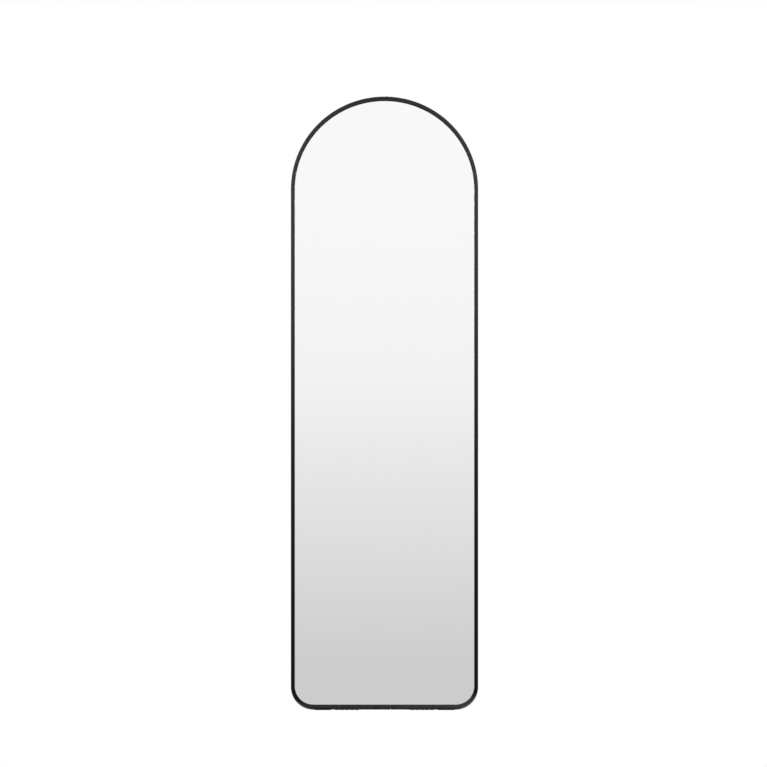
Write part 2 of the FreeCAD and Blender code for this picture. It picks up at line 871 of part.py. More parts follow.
def pivot_bolt(label, side):
    """A button-head bolt from inside the ear, through washers and tube, to the lock nut."""
    body = new_body(label)
    head = size.pivot_head_diameter / 2
    bend = size.pivot_head_round
    top = ear_inner - size.pivot_head_height
    end = nut_seat + size.nut_height + size.nut_collar_height + size.pivot_bolt_end
    sketch = new_sketch(body, "XY_Plane")
    draw(sketch, (side * top, 0), [
        (side * top, head - bend),
        Arc((side * (top + bend), head), (side * (top + bend), head - bend), bend, -side),
        (side * ear_inner, head),
        (side * ear_inner, pivot_radius),
        (side * end, pivot_radius),
        (side * end, 0),
        (side * top, 0),
    ])
    revolve(body, sketch, "H_Axis")
    socket = new_sketch(body, "YZ_Plane", side * top)
    hexagon(socket, size.pivot_socket)
    pocket(body, socket, size.pivot_socket_depth, backwards=side > 0)
    sit(body, mirror_seat, 0, size.frame_depth + pivot_standoff, size.pivot_height)
    keep(body, label)


def hexagon(sketch, across):
    """A hexagon by its width across flats."""
    corner = across / root(formula(3))
    places = [(corner * cosine(60 * step), corner * sine(60 * step)) for step in range(6)]
    draw(sketch, places[0], places[1:] + places[:1])


def pivot_nuts():
    """Lock nuts with a round collar, on the outer ends of the pivot bolts."""
    master = new_body("lock_nut")
    bore = pivot_radius + size.pivot_clearance
    flats = new_sketch(master, "YZ_Plane")
    hexagon(flats, size.nut_width)
    draw_circle(flats, (0, 0), bore)
    pad(master, flats, size.nut_height)
    collar = new_sketch(master, "YZ_Plane", size.nut_height)
    draw_circle(collar, (0, 0), size.nut_collar_diameter / 2)
    draw_circle(collar, (0, 0), bore)
    pad(master, collar, size.nut_collar_height)
    y = size.frame_depth + pivot_standoff
    copies("pivot_nuts", master, mirror_seat, [
        (nut_seat, y, size.pivot_height),
        (-nut_seat, y, size.pivot_height, 180),
    ])


def pivot_washers():
    """Washers on both sides of each leg."""
    master = new_body("pivot_washer")
    sketch = new_sketch(master, "YZ_Plane")
    draw_circle(sketch, (0, 0), size.washer_diameter / 2)
    draw_circle(sketch, (0, 0), pivot_radius + size.pivot_clearance)
    pad(master, sketch, size.washer_thickness)
    y = size.frame_depth + pivot_standoff
    places = []
    for seat_x in (ear_outer, nut_seat - size.washer_thickness):
        places.append((seat_x, y, size.pivot_height))
        places.append((-seat_x, y, size.pivot_height, 180))
    copies("pivot_washers", master, mirror_seat, places)


def foot_pads():
    """Wedges under the sill whose soles lie flat on the floor when the mirror leans."""
    master = new_body("foot_pad")
    back = size.frame_depth - size.pad_setback
    front = back - size.pad_depth
    slope = sine(size.lean_angle) / cosine(size.lean_angle)
    drop = size.pad_height / cosine(size.lean_angle)
    sketch = new_sketch(master, "YZ_Plane")
    draw(sketch, (front, 0), [
        (front, (front - size.frame_depth) * slope - drop),
        (back, (back - size.frame_depth) * slope - drop),
        (back, 0),
        (front, 0),
    ])
    pad(master, sketch, size.pad_length, both_ways=True)
    middle = sill_end - size.pad_gap - size.pad_length / 2
    copies("foot_pads", master, mirror_seat, [(-middle,), (middle,)])


def wall_bumpers():
    """Buttons on the rear face of the side rails."""
    master = new_body("wall_bumper")
    radius = size.bumper_diameter / 2
    bend = size.bumper_round
    sketch = new_sketch(master, "XY_Plane")
    draw(sketch, (0, 0), [
        (radius, 0),
        (radius, size.bumper_height - bend),
        Arc((radius - bend, size.bumper_height), (radius - bend, size.bumper_height - bend), bend, 1),
        (0, size.bumper_height),
        (0, 0),
    ])
    revolve(master, sketch, "V_Axis")
    x = half_width - size.face_width / 2
    places = []
    for height in (size.corner_radius + size.bumper_rise, arch_centre - size.bumper_drop):
        places.append((-x, size.frame_depth, height))
        places.append((x, size.frame_depth, height))
    copies("wall_bumpers", master, mirror_seat, places)


def stand_leg():
    """A U of tube: two legs drilled for the pivots, and the bar between them on the floor."""
    body = new_body("stand_leg")
    bend = size.stand_bend
    floor = -leg_length
    path = depth_sketch(body, 0)
    draw(path, (-leg_x, tube_end), [
        (-leg_x, floor + bend),
        Arc((bend - leg_x, floor), (bend - leg_x, floor + bend), bend, 1),
        (leg_x - bend, floor),
        Arc((leg_x, floor + bend), (leg_x - bend, floor + bend), bend, 1),
        (leg_x, tube_end),
    ], closed=False)
    ring = new_sketch(body, "XY_Plane", tube_end)
    draw_circle(ring, (-leg_x, 0), tube_radius)
    draw_circle(ring, (-leg_x, 0), tube_radius - size.tube_wall)
    sweep(body, ring, path)
    for side in (-1, 1):
        hole = new_sketch(body, "YZ_Plane", side * (leg_x - tube_radius - size.overrun))
        draw_circle(hole, (0, 0), pivot_radius + size.pivot_clearance)
        pocket(body, hole, size.tube_diameter + 2 * size.overrun, backwards=side > 0)
    sit(body, stand_seat)
    keep(body, "stand_leg")


def stand_plugs():
    """Plugs in the upper ends of the tube: the flange's edge is the heel that meets the stop plate."""
    master = new_body("stand_plug")
    stub = tube_radius - size.tube_wall - size.plug_clearance
    sketch = new_sketch(master, "XZ_Plane")
    draw(sketch, (0, -size.plug_stub), [
        (stub, -size.plug_stub),
        (stub, 0),
        (tube_radius, 0),
        (tube_radius, size.plug_flange),
        (0, size.plug_flange),
        (0, -size.plug_stub),
    ])
    revolve(master, sketch, "V_Axis")
    copies("stand_plugs", master, stand_seat, [(-leg_x, 0, tube_end), (leg_x, 0, tube_end)])


def stand_sleeves():
    """Grooved sleeves on the bar, which stand on the floor."""
    master = new_body("stand_sleeve")
    bore = tube_radius + size.sleeve_clearance
    half = size.sleeve_length / 2
    groove = size.sleeve_groove_width / 2
    low = sleeve_radius - size.sleeve_groove_depth
    steps = []
    for share in SLEEVE_GROOVE_SHARES:
        middle = share * size.sleeve_length
        steps += [(middle - groove, sleeve_radius), (middle - groove, low),
                  (middle + groove, low), (middle + groove, sleeve_radius)]
    sketch = new_sketch(master, "XY_Plane")
    draw(sketch, (-half, sleeve_radius), steps + [
        (half, sleeve_radius), (half, bore), (-half, bore), (-half, sleeve_radius),
    ])
    revolve(master, sketch, "H_Axis")
    copies("stand_sleeves", master, stand_seat, [
        (-sleeve_x, 0, -leg_length),
        (sleeve_x, 0, -leg_length),
    ])


def build():
    """Makes every sub-part."""
    for label, side in (("left", -1), ("right", 1)):
        frame_half(f"frame_{label}", side)
        hanger_plate(f"hanger_plate_{label}", side)
        nut_bar(f"hanger_nut_bar_{label}", side, hanger_height, size.hanger_screw_pitch)
        stand_bracket(f"bracket_{label}", side)
        nut_bar(f"bracket_nut_bar_{label}", side, size.pivot_height, size.bracket_screw_pitch)
        pivot_bolt(f"pivot_bolt_{label}", side)
    glazing_gasket()
    arched_sheet("mirror_glass", glass_inset, glass_front, size.glass_thickness)
    arched_sheet("safety_film", glass_inset, film_front, size.film_thickness)
    arched_sheet("backing_board", glass_inset, board_front, size.board_thickness)
    setting_blocks()
    spring_clips()
    sill_key()
    crown_key()
    crown_bead()
    rear_screws()
    pivot_nuts()
    pivot_washers()
    foot_pads()
    wall_bumpers()
    stand_leg()
    stand_plugs()
    stand_sleeves()


def write():
    """Stops at anything failed, then writes each sub-part to its own file."""
    doc.recompute()
    for item in doc.Objects:
        if "Invalid" in item.State or "Error" in item.State:
            raise RuntimeError(f"{item.Label} failed: {item.State}")
    for node in nodes:
        if node.Shape.isNull() or not node.Shape.isValid() or not node.Shape.Solids:
            raise RuntimeError(f"{node.Label} has no valid solid")
    os.makedirs("parts", exist_ok=True)
    for node in nodes:
        node.Shape.exportStep(f"parts/{node.Label}.step")
        print(f"{node.Label}: {len(node.Shape.Solids)} solids, {node.Shape.Volume:.1f} mm3")


build()
write()
print(f"stand opens {opening_angle.value:.3f} deg, its legs are {leg_length.value:.3f} long")
print(f"pivot at y {pivot_y.value - footprint_middle.value:.4f}, z {pivot_z.value:.4f}")
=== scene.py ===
"""Arched floor mirror: smooth pieces, finishes and a small studio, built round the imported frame.

Metres. The mirror's pieces are worked out upright, with y from the frame's front face backwards and z from
its lower edge upwards, and lean_back turns them into the frame's space. The stand's pieces are worked out
about its pivot, with the legs straight down, and swing_out turns them.
"""

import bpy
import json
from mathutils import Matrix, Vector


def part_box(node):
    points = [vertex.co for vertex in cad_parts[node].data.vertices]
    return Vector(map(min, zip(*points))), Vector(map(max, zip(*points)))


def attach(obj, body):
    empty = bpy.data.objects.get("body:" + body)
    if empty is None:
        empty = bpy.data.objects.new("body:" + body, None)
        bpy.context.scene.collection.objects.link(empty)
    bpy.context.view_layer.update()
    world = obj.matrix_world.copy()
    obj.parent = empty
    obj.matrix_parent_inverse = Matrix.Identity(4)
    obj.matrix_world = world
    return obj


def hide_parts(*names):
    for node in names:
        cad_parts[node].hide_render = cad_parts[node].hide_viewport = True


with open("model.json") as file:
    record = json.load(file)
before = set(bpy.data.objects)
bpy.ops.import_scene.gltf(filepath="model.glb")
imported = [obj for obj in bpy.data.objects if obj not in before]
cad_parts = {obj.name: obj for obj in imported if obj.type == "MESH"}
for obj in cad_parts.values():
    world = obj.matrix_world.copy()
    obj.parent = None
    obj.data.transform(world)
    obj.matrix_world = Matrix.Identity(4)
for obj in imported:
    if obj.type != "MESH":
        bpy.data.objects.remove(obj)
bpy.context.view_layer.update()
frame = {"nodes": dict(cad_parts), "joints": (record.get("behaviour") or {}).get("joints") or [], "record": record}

import json
import math
from functools import partial

import bpy
import numpy as np
from bpy.props import FloatProperty, FloatVectorProperty, PointerProperty
from bpy.types import Operator, Panel, PropertyGroup

bl_info = {
    "name": "Arched Mirror",
    "version": (1, 0, 0),
    "blender": (4, 5, 0),
    "location": "3D View > Sidebar > Mirror",
    "description": "Builds the looks of an arched floor mirror round its packed frame",
    "category": "Object",
}

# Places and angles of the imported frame
KEYHOLE = next(mount for mount in frame["record"]["mounts"] if mount["name"] == "keyhole_left")
LEAN = math.atan2(-KEYHOLE["axis"][2], KEYHOLE["axis"][1])
PIVOT = np.array([0.0, *frame["joints"][0]["pos_m"][1:]])
FOOT = np.mean(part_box("stand_sleeves"), axis=0) - PIVOT
LEG_LENGTH = math.hypot(FOOT[1], FOOT[2])
STAND_ANGLE = math.atan2(FOOT[1], -FOOT[2])
SIDES = {"left": -1, "right": 1}

# Steps along the frame's outline, round the corners of sections, and along and across the bead
SILL_STEPS = 12
BEND_STEPS = 33
RAIL_STEPS = 40
ARCH_STEPS = 129
CORNER_STEPS = 4
BEAD_STEPS = (33, 25)

# Steps round the turned pieces, over their rounded edges and across their flat tops
ROUND_STEPS = 64
HEAD_STEPS = 8
PLUG_STEPS = 6
BUMPER_STEPS = 10
TOP_STEPS = 24
TOP_MIDDLE = 1 / 24
BUMPER_TOP_STEPS = 8
BUMPER_TOP_MIDDLE = 1 / 12
ROUND = np.linspace(0, 2 * math.pi, ROUND_STEPS, endpoint=False)
ALONG_X, ALONG_Y, ALONG_Z = range(3)
SHARP_ANGLE = math.radians(35)


# Settings

def length(name, default, description):
    """A size in metres."""
    return FloatProperty(name=name, description=description, default=default, precision=4, unit="LENGTH")


def share(name, default, description):
    """A plain number from 0 to 1."""
    return FloatProperty(name=name, description=description, default=default, min=0.0, max=1.0,
                         subtype="FACTOR")


def strength(name, default, description, unit="NONE"):
    """A brightness, or the power of a lamp."""
    return FloatProperty(name=name, description=description, default=default, min=0.0, unit=unit)


def colour(name, default, description):
    """A linear colour."""
    return FloatVectorProperty(name=name, description=description, default=default, min=0.0, max=1.0,
                               size=3, subtype="COLOR")


class FrameSizes(PropertyGroup):
    """The outline, the extrusion's section and the panes in it"""
    height: length("Height", 1.65, "Lower edge to crown, along the glass")
    width: length("Width", 0.5, "Across the frame, and across the arch")
    corner_radius: length("Corner radius", 0.06, "Outer radius of the lower corners")
    depth: length("Depth", 0.025, "Front to back of the extrusion")
    face: length("Face width", 0.0106, "Width of the front face")
    wall: length("Wall", 0.0014, "Walls of the extrusion")
    lip_depth: length("Lip depth", 0.003, "Return of the front lip")
    rib_front: length("Rib", 0.0128, "Front of the rib behind the board")
    channel_lip: length("Channel lip", 0.0016, "Returns beside the rear channel's slot")
    outer_round: length("Outer edge", 0.0016, "Radius of the front face's outer edge")
    inner_round: length("Inner edge", 0.001, "Radius of the front face's inner edge")
    rear_round: length("Rear edge", 0.0006, "Radius of the rear face's outer edge")
    fine_round: length("Fine edges", 0.00025, "Radius of the section's other corners")
    sill_seam: length("Sill seam", 0.0165, "Place of the seam in the sill, from the middle")
    sill_gap: length("Sill gap", 0.0009, "Width of the seam in the sill")
    sill_bevel: length("Sill bevel", 0.0006, "Corners taken off the cut ends in the sill")
    crown_seam: length("Crown seam", 0.0065, "Place of the seam in the crown, from the middle")
    crown_gap: length("Crown gap", 0.0002, "Width of the seam in the crown")
    bead_width: length("Bead width", 0.0036, "Bead of filler over the crown seam")
    bead_height: length("Bead height", 0.0013, "Rise of the bead over the frame")
    pane_inset: length("Pane inset", 0.003, "Edge of glass and board, from the outside of the frame")
    glass_front: length("Glass front", 0.0038, "Front of the glass, from the front of the frame")
    glass_thickness: length("Glass thickness", 0.00395, "Pane from its front to the silvering")
    glass_arris: length("Glass arris", 0.0005, "Ground corner of the pane's edge")
    board_front: length("Board front", 0.0081, "Front of the board, from the front of the frame")
    board_thickness: length("Board thickness", 0.003, "Thickness of the backing board")
    board_arris: length("Board arris", 0.00025, "Eased corner of the board's edge")
    strip_inset: length("Strip inset", 0.0032, "Outer side of the glazing strip")
    strip_edge: length("Strip edge", 0.009, "Inner side of the glazing strip")
    strip_round: length("Strip round", 0.00035, "Radius of the glazing strip's corners")


class FittingSizes(PropertyGroup):
    """Screws, pivots, stand, pads and bumpers"""
    screw_radius: length("Screw radius", 0.0015, "Shank of the rear screws")
    screw_length: length("Screw length", 0.006, "Shank of the rear screws below the head")
    screw_head: length("Screw head", 0.0028, "Radius of the pan head")
    screw_top: length("Screw top", 0.0018, "Height of the pan head")
    screw_round: length("Screw round", 0.0012, "Rounding of the pan head")
    recess_span: length("Recess span", 0.0015, "Half the span of the cross recess")
    recess_arm: length("Recess arm", 0.0004, "Half the width of the cross recess")
    recess_depth: length("Recess depth", 0.001, "Depth of the cross recess")
    key_near: length("Near key screws", 0.018, "From the seam to the nearer screws")
    key_far: length("Far key screws", 0.048, "From the seam to the farther screws")
    hanger_height: length("Hanger height", 1.24, "Middle of the keyhole plates")
    hanger_sheet: length("Hanger sheet", 0.0015, "Sheet of the keyhole plates")
    bracket_height: length("Bracket height", 0.9, "Middle of the stand's brackets")
    bracket_sheet: length("Bracket sheet", 0.002, "Sheet of the brackets")
    plate_pitch: length("Screw pitch", 0.03, "Between the two screws of a plate")
    ear_inner: length("Ear", 0.2157, "Inner side of a bracket's ear, from the middle")
    ear_outer: length("Inner washer", 0.2177, "Outer side of a bracket's ear, from the middle")
    nut_seat: length("Nut seat", 0.2323, "Inner side of a lock nut, from the middle")
    bolt_radius: length("Bolt radius", 0.0025, "Shank of the pivot bolts")
    bolt_end: length("Bolt end", 0.2389, "Outer end of a pivot bolt, from the middle")
    bolt_head: length("Bolt head", 0.00475, "Radius of the button head")
    bolt_top: length("Bolt top", 0.0028, "Height of the button head")
    bolt_round: length("Bolt round", 0.0018, "Rounding of the button head")
    bolt_socket: length("Bolt socket", 0.0015, "Half the width across the socket's flats")
    socket_depth: length("Socket depth", 0.0016, "Depth of the socket")
    pivot_bore: length("Pivot bore", 0.00255, "Bore of washers and nuts")
    nut_flat: length("Nut flats", 0.004, "Half the width across a nut's flats")
    nut_face: length("Nut face", 0.00376, "Radius of a nut's end faces, inside the chamfers")
    nut_height: length("Nut height", 0.004, "Hexagon of a lock nut")
    collar_radius: length("Collar radius", 0.0037, "Round collar of a lock nut")
    collar_height: length("Collar height", 0.0016, "Rise of the collar over the hexagon")
    washer_radius: length("Washer radius", 0.005, "Outer radius of the washers")
    washer_thickness: length("Washer thickness", 0.001, "Thickness of the washers")
    leg_x: length("Legs", 0.225, "Middle of a leg, from the middle of the mirror")
    tube_radius: length("Tube radius", 0.006, "Outer radius of the stand's tube")
    tube_end: length("Tube end", 0.0095, "Upper end of the tube over the pivot")
    plug_stub: length("Plug stub", 0.005, "Length of a plug inside the tube")
    plug_radius: length("Plug radius", 0.0049, "Radius of a plug inside the tube")
    plug_flange: length("Plug flange", 0.0015, "Thickness of a plug's flange")
    sleeve_radius: length("Sleeve radius", 0.008, "Outer radius of the rubber sleeves")
    sleeve_bore: length("Sleeve bore", 0.00605, "Bore of the rubber sleeves")
    sleeve_length: length("Sleeve length", 0.064, "Length of a rubber sleeve")
    sleeve_x: length("Sleeves", 0.1, "Middle of a sleeve, from the middle of the stand")
    groove_pitch: length("Groove pitch", 0.0128, "Between the grooves of a sleeve")
    groove_width: length("Groove width", 0.003, "Width of a sleeve's grooves")
    groove_depth: length("Groove depth", 0.0008, "Depth of a sleeve's grooves")
    pad_x: length("Pads", 0.165, "Middle of a pad, from the middle of the sill")
    pad_length: length("Pad length", 0.044, "Pad along the sill")
    pad_front: length("Pad front", 0.013, "Front of a pad, from the front of the frame")
    pad_back: length("Pad back", 0.024, "Back of a pad, from the front of the frame")
    pad_height: length("Pad height", 0.001, "Sole below the sill's rear edge")
    pad_ends: share("Pad ends", 0.93, "Section at a pad's ends, against its middle")
    bumper_radius: length("Bumper radius", 0.004, "Radius of the wall bumpers")
    bumper_height: length("Bumper height", 0.003, "Height of the wall bumpers")
    bumper_round: length("Bumper round", 0.0015, "Rounding of the wall bumpers")
    bumper_low: length("Low bumpers", 0.11, "Lower bumpers over the frame's lower edge")
    bumper_high: length("High bumpers", 1.33, "Upper bumpers over the frame's lower edge")


class FinishSettings(PropertyGroup):
    """Colours of the finishes, and where a painted sheen lies on the sill"""
    coating: colour("Coating", (0.0032, 0.0032, 0.0034), "Satin black coating of the frame")
    # Painted sheen: a lighter grey painted on the sill that stands in for light reflected off it. The settings
    # below say where it lies.
    sheen: colour("Sheen", (0.045, 0.0442, 0.0447), "Fine dust on the sill")
    sheen_full: length("Dust, full", 0.018, "Height up to which the dust is full")
    sheen_end: length("Dust, end", 0.038, "Height where the dust ends")
    sheen_tilt: share("Dust, tilt", 0.037, "Rise of the dust's edge towards the right")
    sheen_left: share("Dust, left", 0.62, "Dust at the left, against the right")
    sheen_thin: length("Dust, thin", -0.1, "Place along the sill where the dust starts to thicken")
    sheen_thick: length("Dust, thick", 0.25, "Place along the sill where the dust is thickest")
    powder: colour("Powder coat", (0.016, 0.016, 0.0165), "Black powder coat of stand and brackets")
    silver: colour("Silver", (0.947, 0.95, 0.949), "Silvering of the mirror")
    clear: share("Clear glass", 0.04, "What the clear front of the glass reflects by itself")
    paint: colour("Edge paint", (0.22, 0.23, 0.235), "Paint round the mirror's edge")
    board: colour("Board", (0.30, 0.185, 0.105), "Brown hardboard")
    aluminium: colour("Aluminium", (0.78, 0.79, 0.80), "Bare aluminium")
    zinc: colour("Zinc", (0.62, 0.64, 0.67), "Zinc plating")
    oxide: colour("Black oxide", (0.03, 0.03, 0.033), "Blackened screws and bolts")
    spring: colour("Spring steel", (0.42, 0.42, 0.44), "Bare spring steel")
    rubber: colour("Rubber", (0.018, 0.018, 0.018), "Moulded black rubber")
    nylon: colour("Nylon", (0.70, 0.69, 0.64), "Natural nylon")
    plastic: colour("Plastic", (0.02, 0.02, 0.021), "Moulded black plastic")
    film: colour("Film", (0.5, 0.53, 0.55), "Safety film")


class StageSettings(PropertyGroup):
    """Camera, floor, wall and lamps"""
    view_width: length("View width", 2.048, "Width of the picture at the mirror")
    view_x: length("View across", -0.0027, "Camera from the middle of the mirror")
    view_z: length("View height", 0.872, "Camera over the floor")
    view_distance: length("View distance", 3.0, "Camera in front of the middle")
    floor_radius: length("Floor radius", 14.0, "Radius of the floor")
    floor_thickness: length("Floor thickness", 0.01, "Thickness of the floor")
    floor_near: length("Floor near", 0.7, "Radius of the lit part of the floor")
    floor_far: length("Floor far", 2.7, "Radius where the floor has turned white")
    floor_colour: colour("Floor", (0.86, 0.86, 0.86), "Lit part of the floor")
    wall_radius: length("Wall radius", 3.0, "Radius of the studio wall")
    wall_height: length("Wall height", 4.0, "Height of the studio wall")
    wall_dark: share("Wall, low", 0.60, "Tone of the wall at the floor")
    wall_glow: strength("Wall glow", 5.0, "Brightness of the wall's upper part")
    glow_low: length("Glow from", 2.6, "Height where the wall starts to glow")
    glow_high: length("Glow to", 3.2, "Height where the wall glows fully")
    box_power: strength("Soft boxes", 14.0, "Brightness of the soft boxes on the wall")
    box_near: length("Boxes from", 0.28, "Inner edge of the soft boxes, from the middle")
    box_far: length("Boxes to", 1.3, "Outer edge of the soft boxes, from the middle")
    box_low: length("Boxes, foot", 1.45, "Height where the soft boxes start to glow")
    box_full: length("Boxes, full", 2.2, "Height where the soft boxes glow fully")
    box_top: length("Boxes, top", 2.5, "Height where the soft boxes start to fade")
    box_edge: length("Box edge", 0.1, "Soft inner edge of the soft boxes")
    box_fade: length("Box fade", 0.4, "Soft outer and upper edges of the soft boxes")
    fill: share("Fill", 0.72, "Even light from all sides")
    lamp_width: length("Lamp width", 1.6, "Width of the soft lamps")
    lamp_depth: length("Lamp depth", 0.9, "Depth of the soft lamps")
    lamp_y: length("Lamp place", -1.5, "Lamp over the front, from the middle towards the back")
    lamp_z: length("Lamp height", 3.0, "Lamp over the front, over the floor")
    lamp_aim: share("Lamp aim", 0.75, "Where the lamp over the front aims, up the mirror")
    lamp_power: strength("Lamp power", 14.0, "Lamp over the front", "POWER")
    back_x: length("Back lamp, across", 1.2, "Lamp behind, from the middle towards the right")
    back_y: length("Back lamp, place", 2.2, "Lamp behind, from the middle towards the back")
    back_z: length("Back lamp, height", 2.6, "Lamp behind, over the floor")
    back_aim: share("Back lamp, aim", 0.5, "Where the lamp behind aims, up the mirror")
    back_power: strength("Back lamp, power", 10.0, "Lamp behind", "POWER")


# Shapes

def lean_back(points, size):
    """From the upright mirror into the frame's space: a turn of LEAN about the sill's rear edge.

    The rear edge is the lowest line of the frame, and the rounded front edge its foremost one.
    """
    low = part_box("frame_left")[0]
    cos, sin = math.cos(LEAN), math.sin(LEAN)
    rear_y = low[1] + size.depth * cos - size.outer_round * (cos + sin - 1)
    back = points[..., 1] - size.depth
    up = points[..., 2]
    return np.stack([points[..., 0], rear_y + back * cos + up * sin, low[2] - back * sin + up * cos], axis=-1)


def swing_out(points):
    """From the hanging stand into the frame's space: a turn of STAND_ANGLE about the pivot."""
    cos, sin = math.cos(STAND_ANGLE), math.sin(STAND_ANGLE)
    back, up = points[..., 1], points[..., 2]
    return np.stack([points[..., 0], back * cos - up * sin, back * sin + up * cos], axis=-1) + PIVOT


def eased(corners):
    """A closed outline with rounded corners: a row of corners is (across, along, radius).

    An arc starts radius x tan(turn / 2) before its corner, and turns evenly about a centre that lies one
    radius to the inner side of the edge.
    """
    corners = np.array(corners, float)
    place, radius = corners[:, :2], corners[:, 2:]
    before = place - np.roll(place, 1, axis=0)
    before /= np.linalg.norm(before, axis=1, keepdims=True)
    after = np.roll(before, -1, axis=0)
    cross = before[:, :1] * after[:, 1:] - before[:, 1:] * after[:, :1]
    turn = np.arctan2(cross, (before * after).sum(axis=1, keepdims=True))
    side = np.stack([-before[:, 1], before[:, 0]], axis=1) * np.sign(turn)
    centre = place - before * radius * np.tan(np.abs(turn) / 2) + side * radius
    angle = (np.abs(turn) * np.linspace(0, 1, CORNER_STEPS + 1))[..., None]
    arc = side[:, None] * np.cos(angle) - before[:, None] * np.sin(angle)
    return (centre[:, None] - radius[:, None] * arc).reshape(-1, 2)


def half_path(size, side, sill_x, crown_x, first_step):
    """One half of the frame's outer line, from the sill to the crown, and the direction inwards along it.

    Along the sill, round a quarter circle, up the side and round the arch: centre + radius x (cos, sin).
    """
    half = size.width / 2
    bend = size.corner_radius
    spring = size.height - half
    start = side * sill_x
    sill = np.append(start, np.linspace(start + first_step, half - bend, SILL_STEPS)[:-1])
    corner = np.linspace(-math.pi / 2, 0, BEND_STEPS)
    rise = np.linspace(bend, spring, RAIL_STEPS)[1:-1]
    sweep = np.linspace(0, math.acos(side * crown_x / half), ARCH_STEPS)
    across = (sill, half - bend + bend * np.cos(corner), np.full_like(rise, half), half * np.cos(sweep))
    up = (np.zeros_like(sill), bend + bend * np.sin(corner), rise, spring + half * np.sin(sweep))
    facing = np.concatenate([np.full_like(sill, -math.pi / 2), corner, np.zeros_like(rise), sweep])
    mirrored = np.array([side, 1.0])
    points = np.stack([np.concatenate(across), np.concatenate(up)], axis=1)
    return points * mirrored, -np.stack([np.cos(facing), np.sin(facing)], axis=1) * mirrored


def whole_path(size):
    """The frame's whole outer line: the right half up to the crown, then the left half down to the sill."""
    right, right_in = half_path(size, 1, 0.0, 0.0, size.face)
    left, left_in = half_path(size, -1, 0.0, 0.0, size.face)
    return np.concatenate([right, left[-2:0:-1]]), np.concatenate([right_in, left_in[-2:0:-1]])


def carry(section, points, inward):
    """A section carried along a line: place = point + inset x inward, at its depth from the front."""
    flat = points[:, None] + section[:, :1] * inward[:, None]
    depth = np.broadcast_to(section[:, 1], flat.shape[:2])
    return np.stack([flat[..., 0], depth, flat[..., 1]], axis=-1)


def turned(along, radius, axis):
    """Rings of a turned piece: along its axis, and radius x (cos, sin) across it.

    along and radius have one row for each ring, and may change round the ring.
    """
    along, radius, angle = np.broadcast_arrays(along, radius, ROUND)
    rings = np.stack([along, radius * np.cos(angle), radius * np.sin(angle)], axis=-1)
    return np.roll(rings, axis, axis=-1)


def column(*parts):
    """Numbers and arrays as one column, with a row for each ring of a turned piece."""
    return np.concatenate([np.ravel(part) for part in parts])[:, None]


def quarter(steps):
    """The angles of a rounded edge."""
    return np.linspace(0, math.pi / 2, steps)


def rings_in(radius, steps, middle):
    """Radii across a flat top, from just inside its edge to a ring round its middle, a share of it."""
    return np.linspace(radius, radius * middle, steps)[1:]


def volume(points, polygons):
    """Signed volume of a closed shape: a . (b x c) / 6, added up over the fans of its faces."""
    total = 0.0
    for block in polygons:
        corners = points[block]
        total += np.einsum("ij,ikj->", corners[:, 0], np.cross(corners[:, 1:-1], corners[:, 2:])) / 6
    return total


def shape_of(rings, ends="caps"):
    """Joins each ring of points to the next one with quads, and turns the faces outwards.

    ends says whether the row of rings is closed by caps, is a loop, or stays open.
    """
    count, around = rings.shape[:2]
    index = np.arange(count * around).reshape(count, around)
    here, there = index, np.roll(index, -1, axis=0)
    if ends != "loop":
        here, there = here[:-1], there[:-1]
    quads = np.stack([here, np.roll(here, -1, axis=1), np.roll(there, -1, axis=1), there], axis=-1)
    polygons = [quads.reshape(-1, 4)]
    if ends == "caps":
        polygons += [index[:1, ::-1], index[-1:]]
    points = rings.reshape(-1, 3)
    if ends != "open" and volume(points, polygons) < 0:
        polygons = [block[:, ::-1] for block in polygons]
    return points, polygons


def together(shapes):
    """Several shapes as one."""
    points, polygons, start = [], [], 0
    for places, blocks in shapes:
        points.append(places)
        polygons += [block + start for block in blocks]
        start += len(places)
    return np.concatenate(points), polygons


# Finishes

class Value:
    """A shader socket: a sum, difference, product or quotient of it adds its Math node."""

    def __init__(self, nodes, socket):
        self.nodes = nodes
        self.socket = socket

    def maths(self, operation, *values):
        """A Math node of these values."""
        return self.nodes.add("ShaderNodeMath", {"operation": operation}, dict(enumerate(values)))

    def __add__(self, other):
        return self.maths("ADD", self, other)

    def __radd__(self, other):
        return self.maths("ADD", other, self)

    def __sub__(self, other):
        return self.maths("SUBTRACT", self, other)

    def __rsub__(self, other):
        return self.maths("SUBTRACT", other, self)

    def __mul__(self, other):
        return self.maths("MULTIPLY", self, other)

    def __rmul__(self, other):
        return self.maths("MULTIPLY", other, self)

    def __truediv__(self, other):
        return self.maths("DIVIDE", self, other)

    def __rtruediv__(self, other):
        return self.maths("DIVIDE", other, self)

    def __abs__(self):
        return self.maths("ABSOLUTE", self)

    def sine(self):
        """The sine of an angle in radians."""
        return self.maths("SINE", self)

    def larger(self, other):
        """The larger of two values."""
        return self.maths("MAXIMUM", self, other)


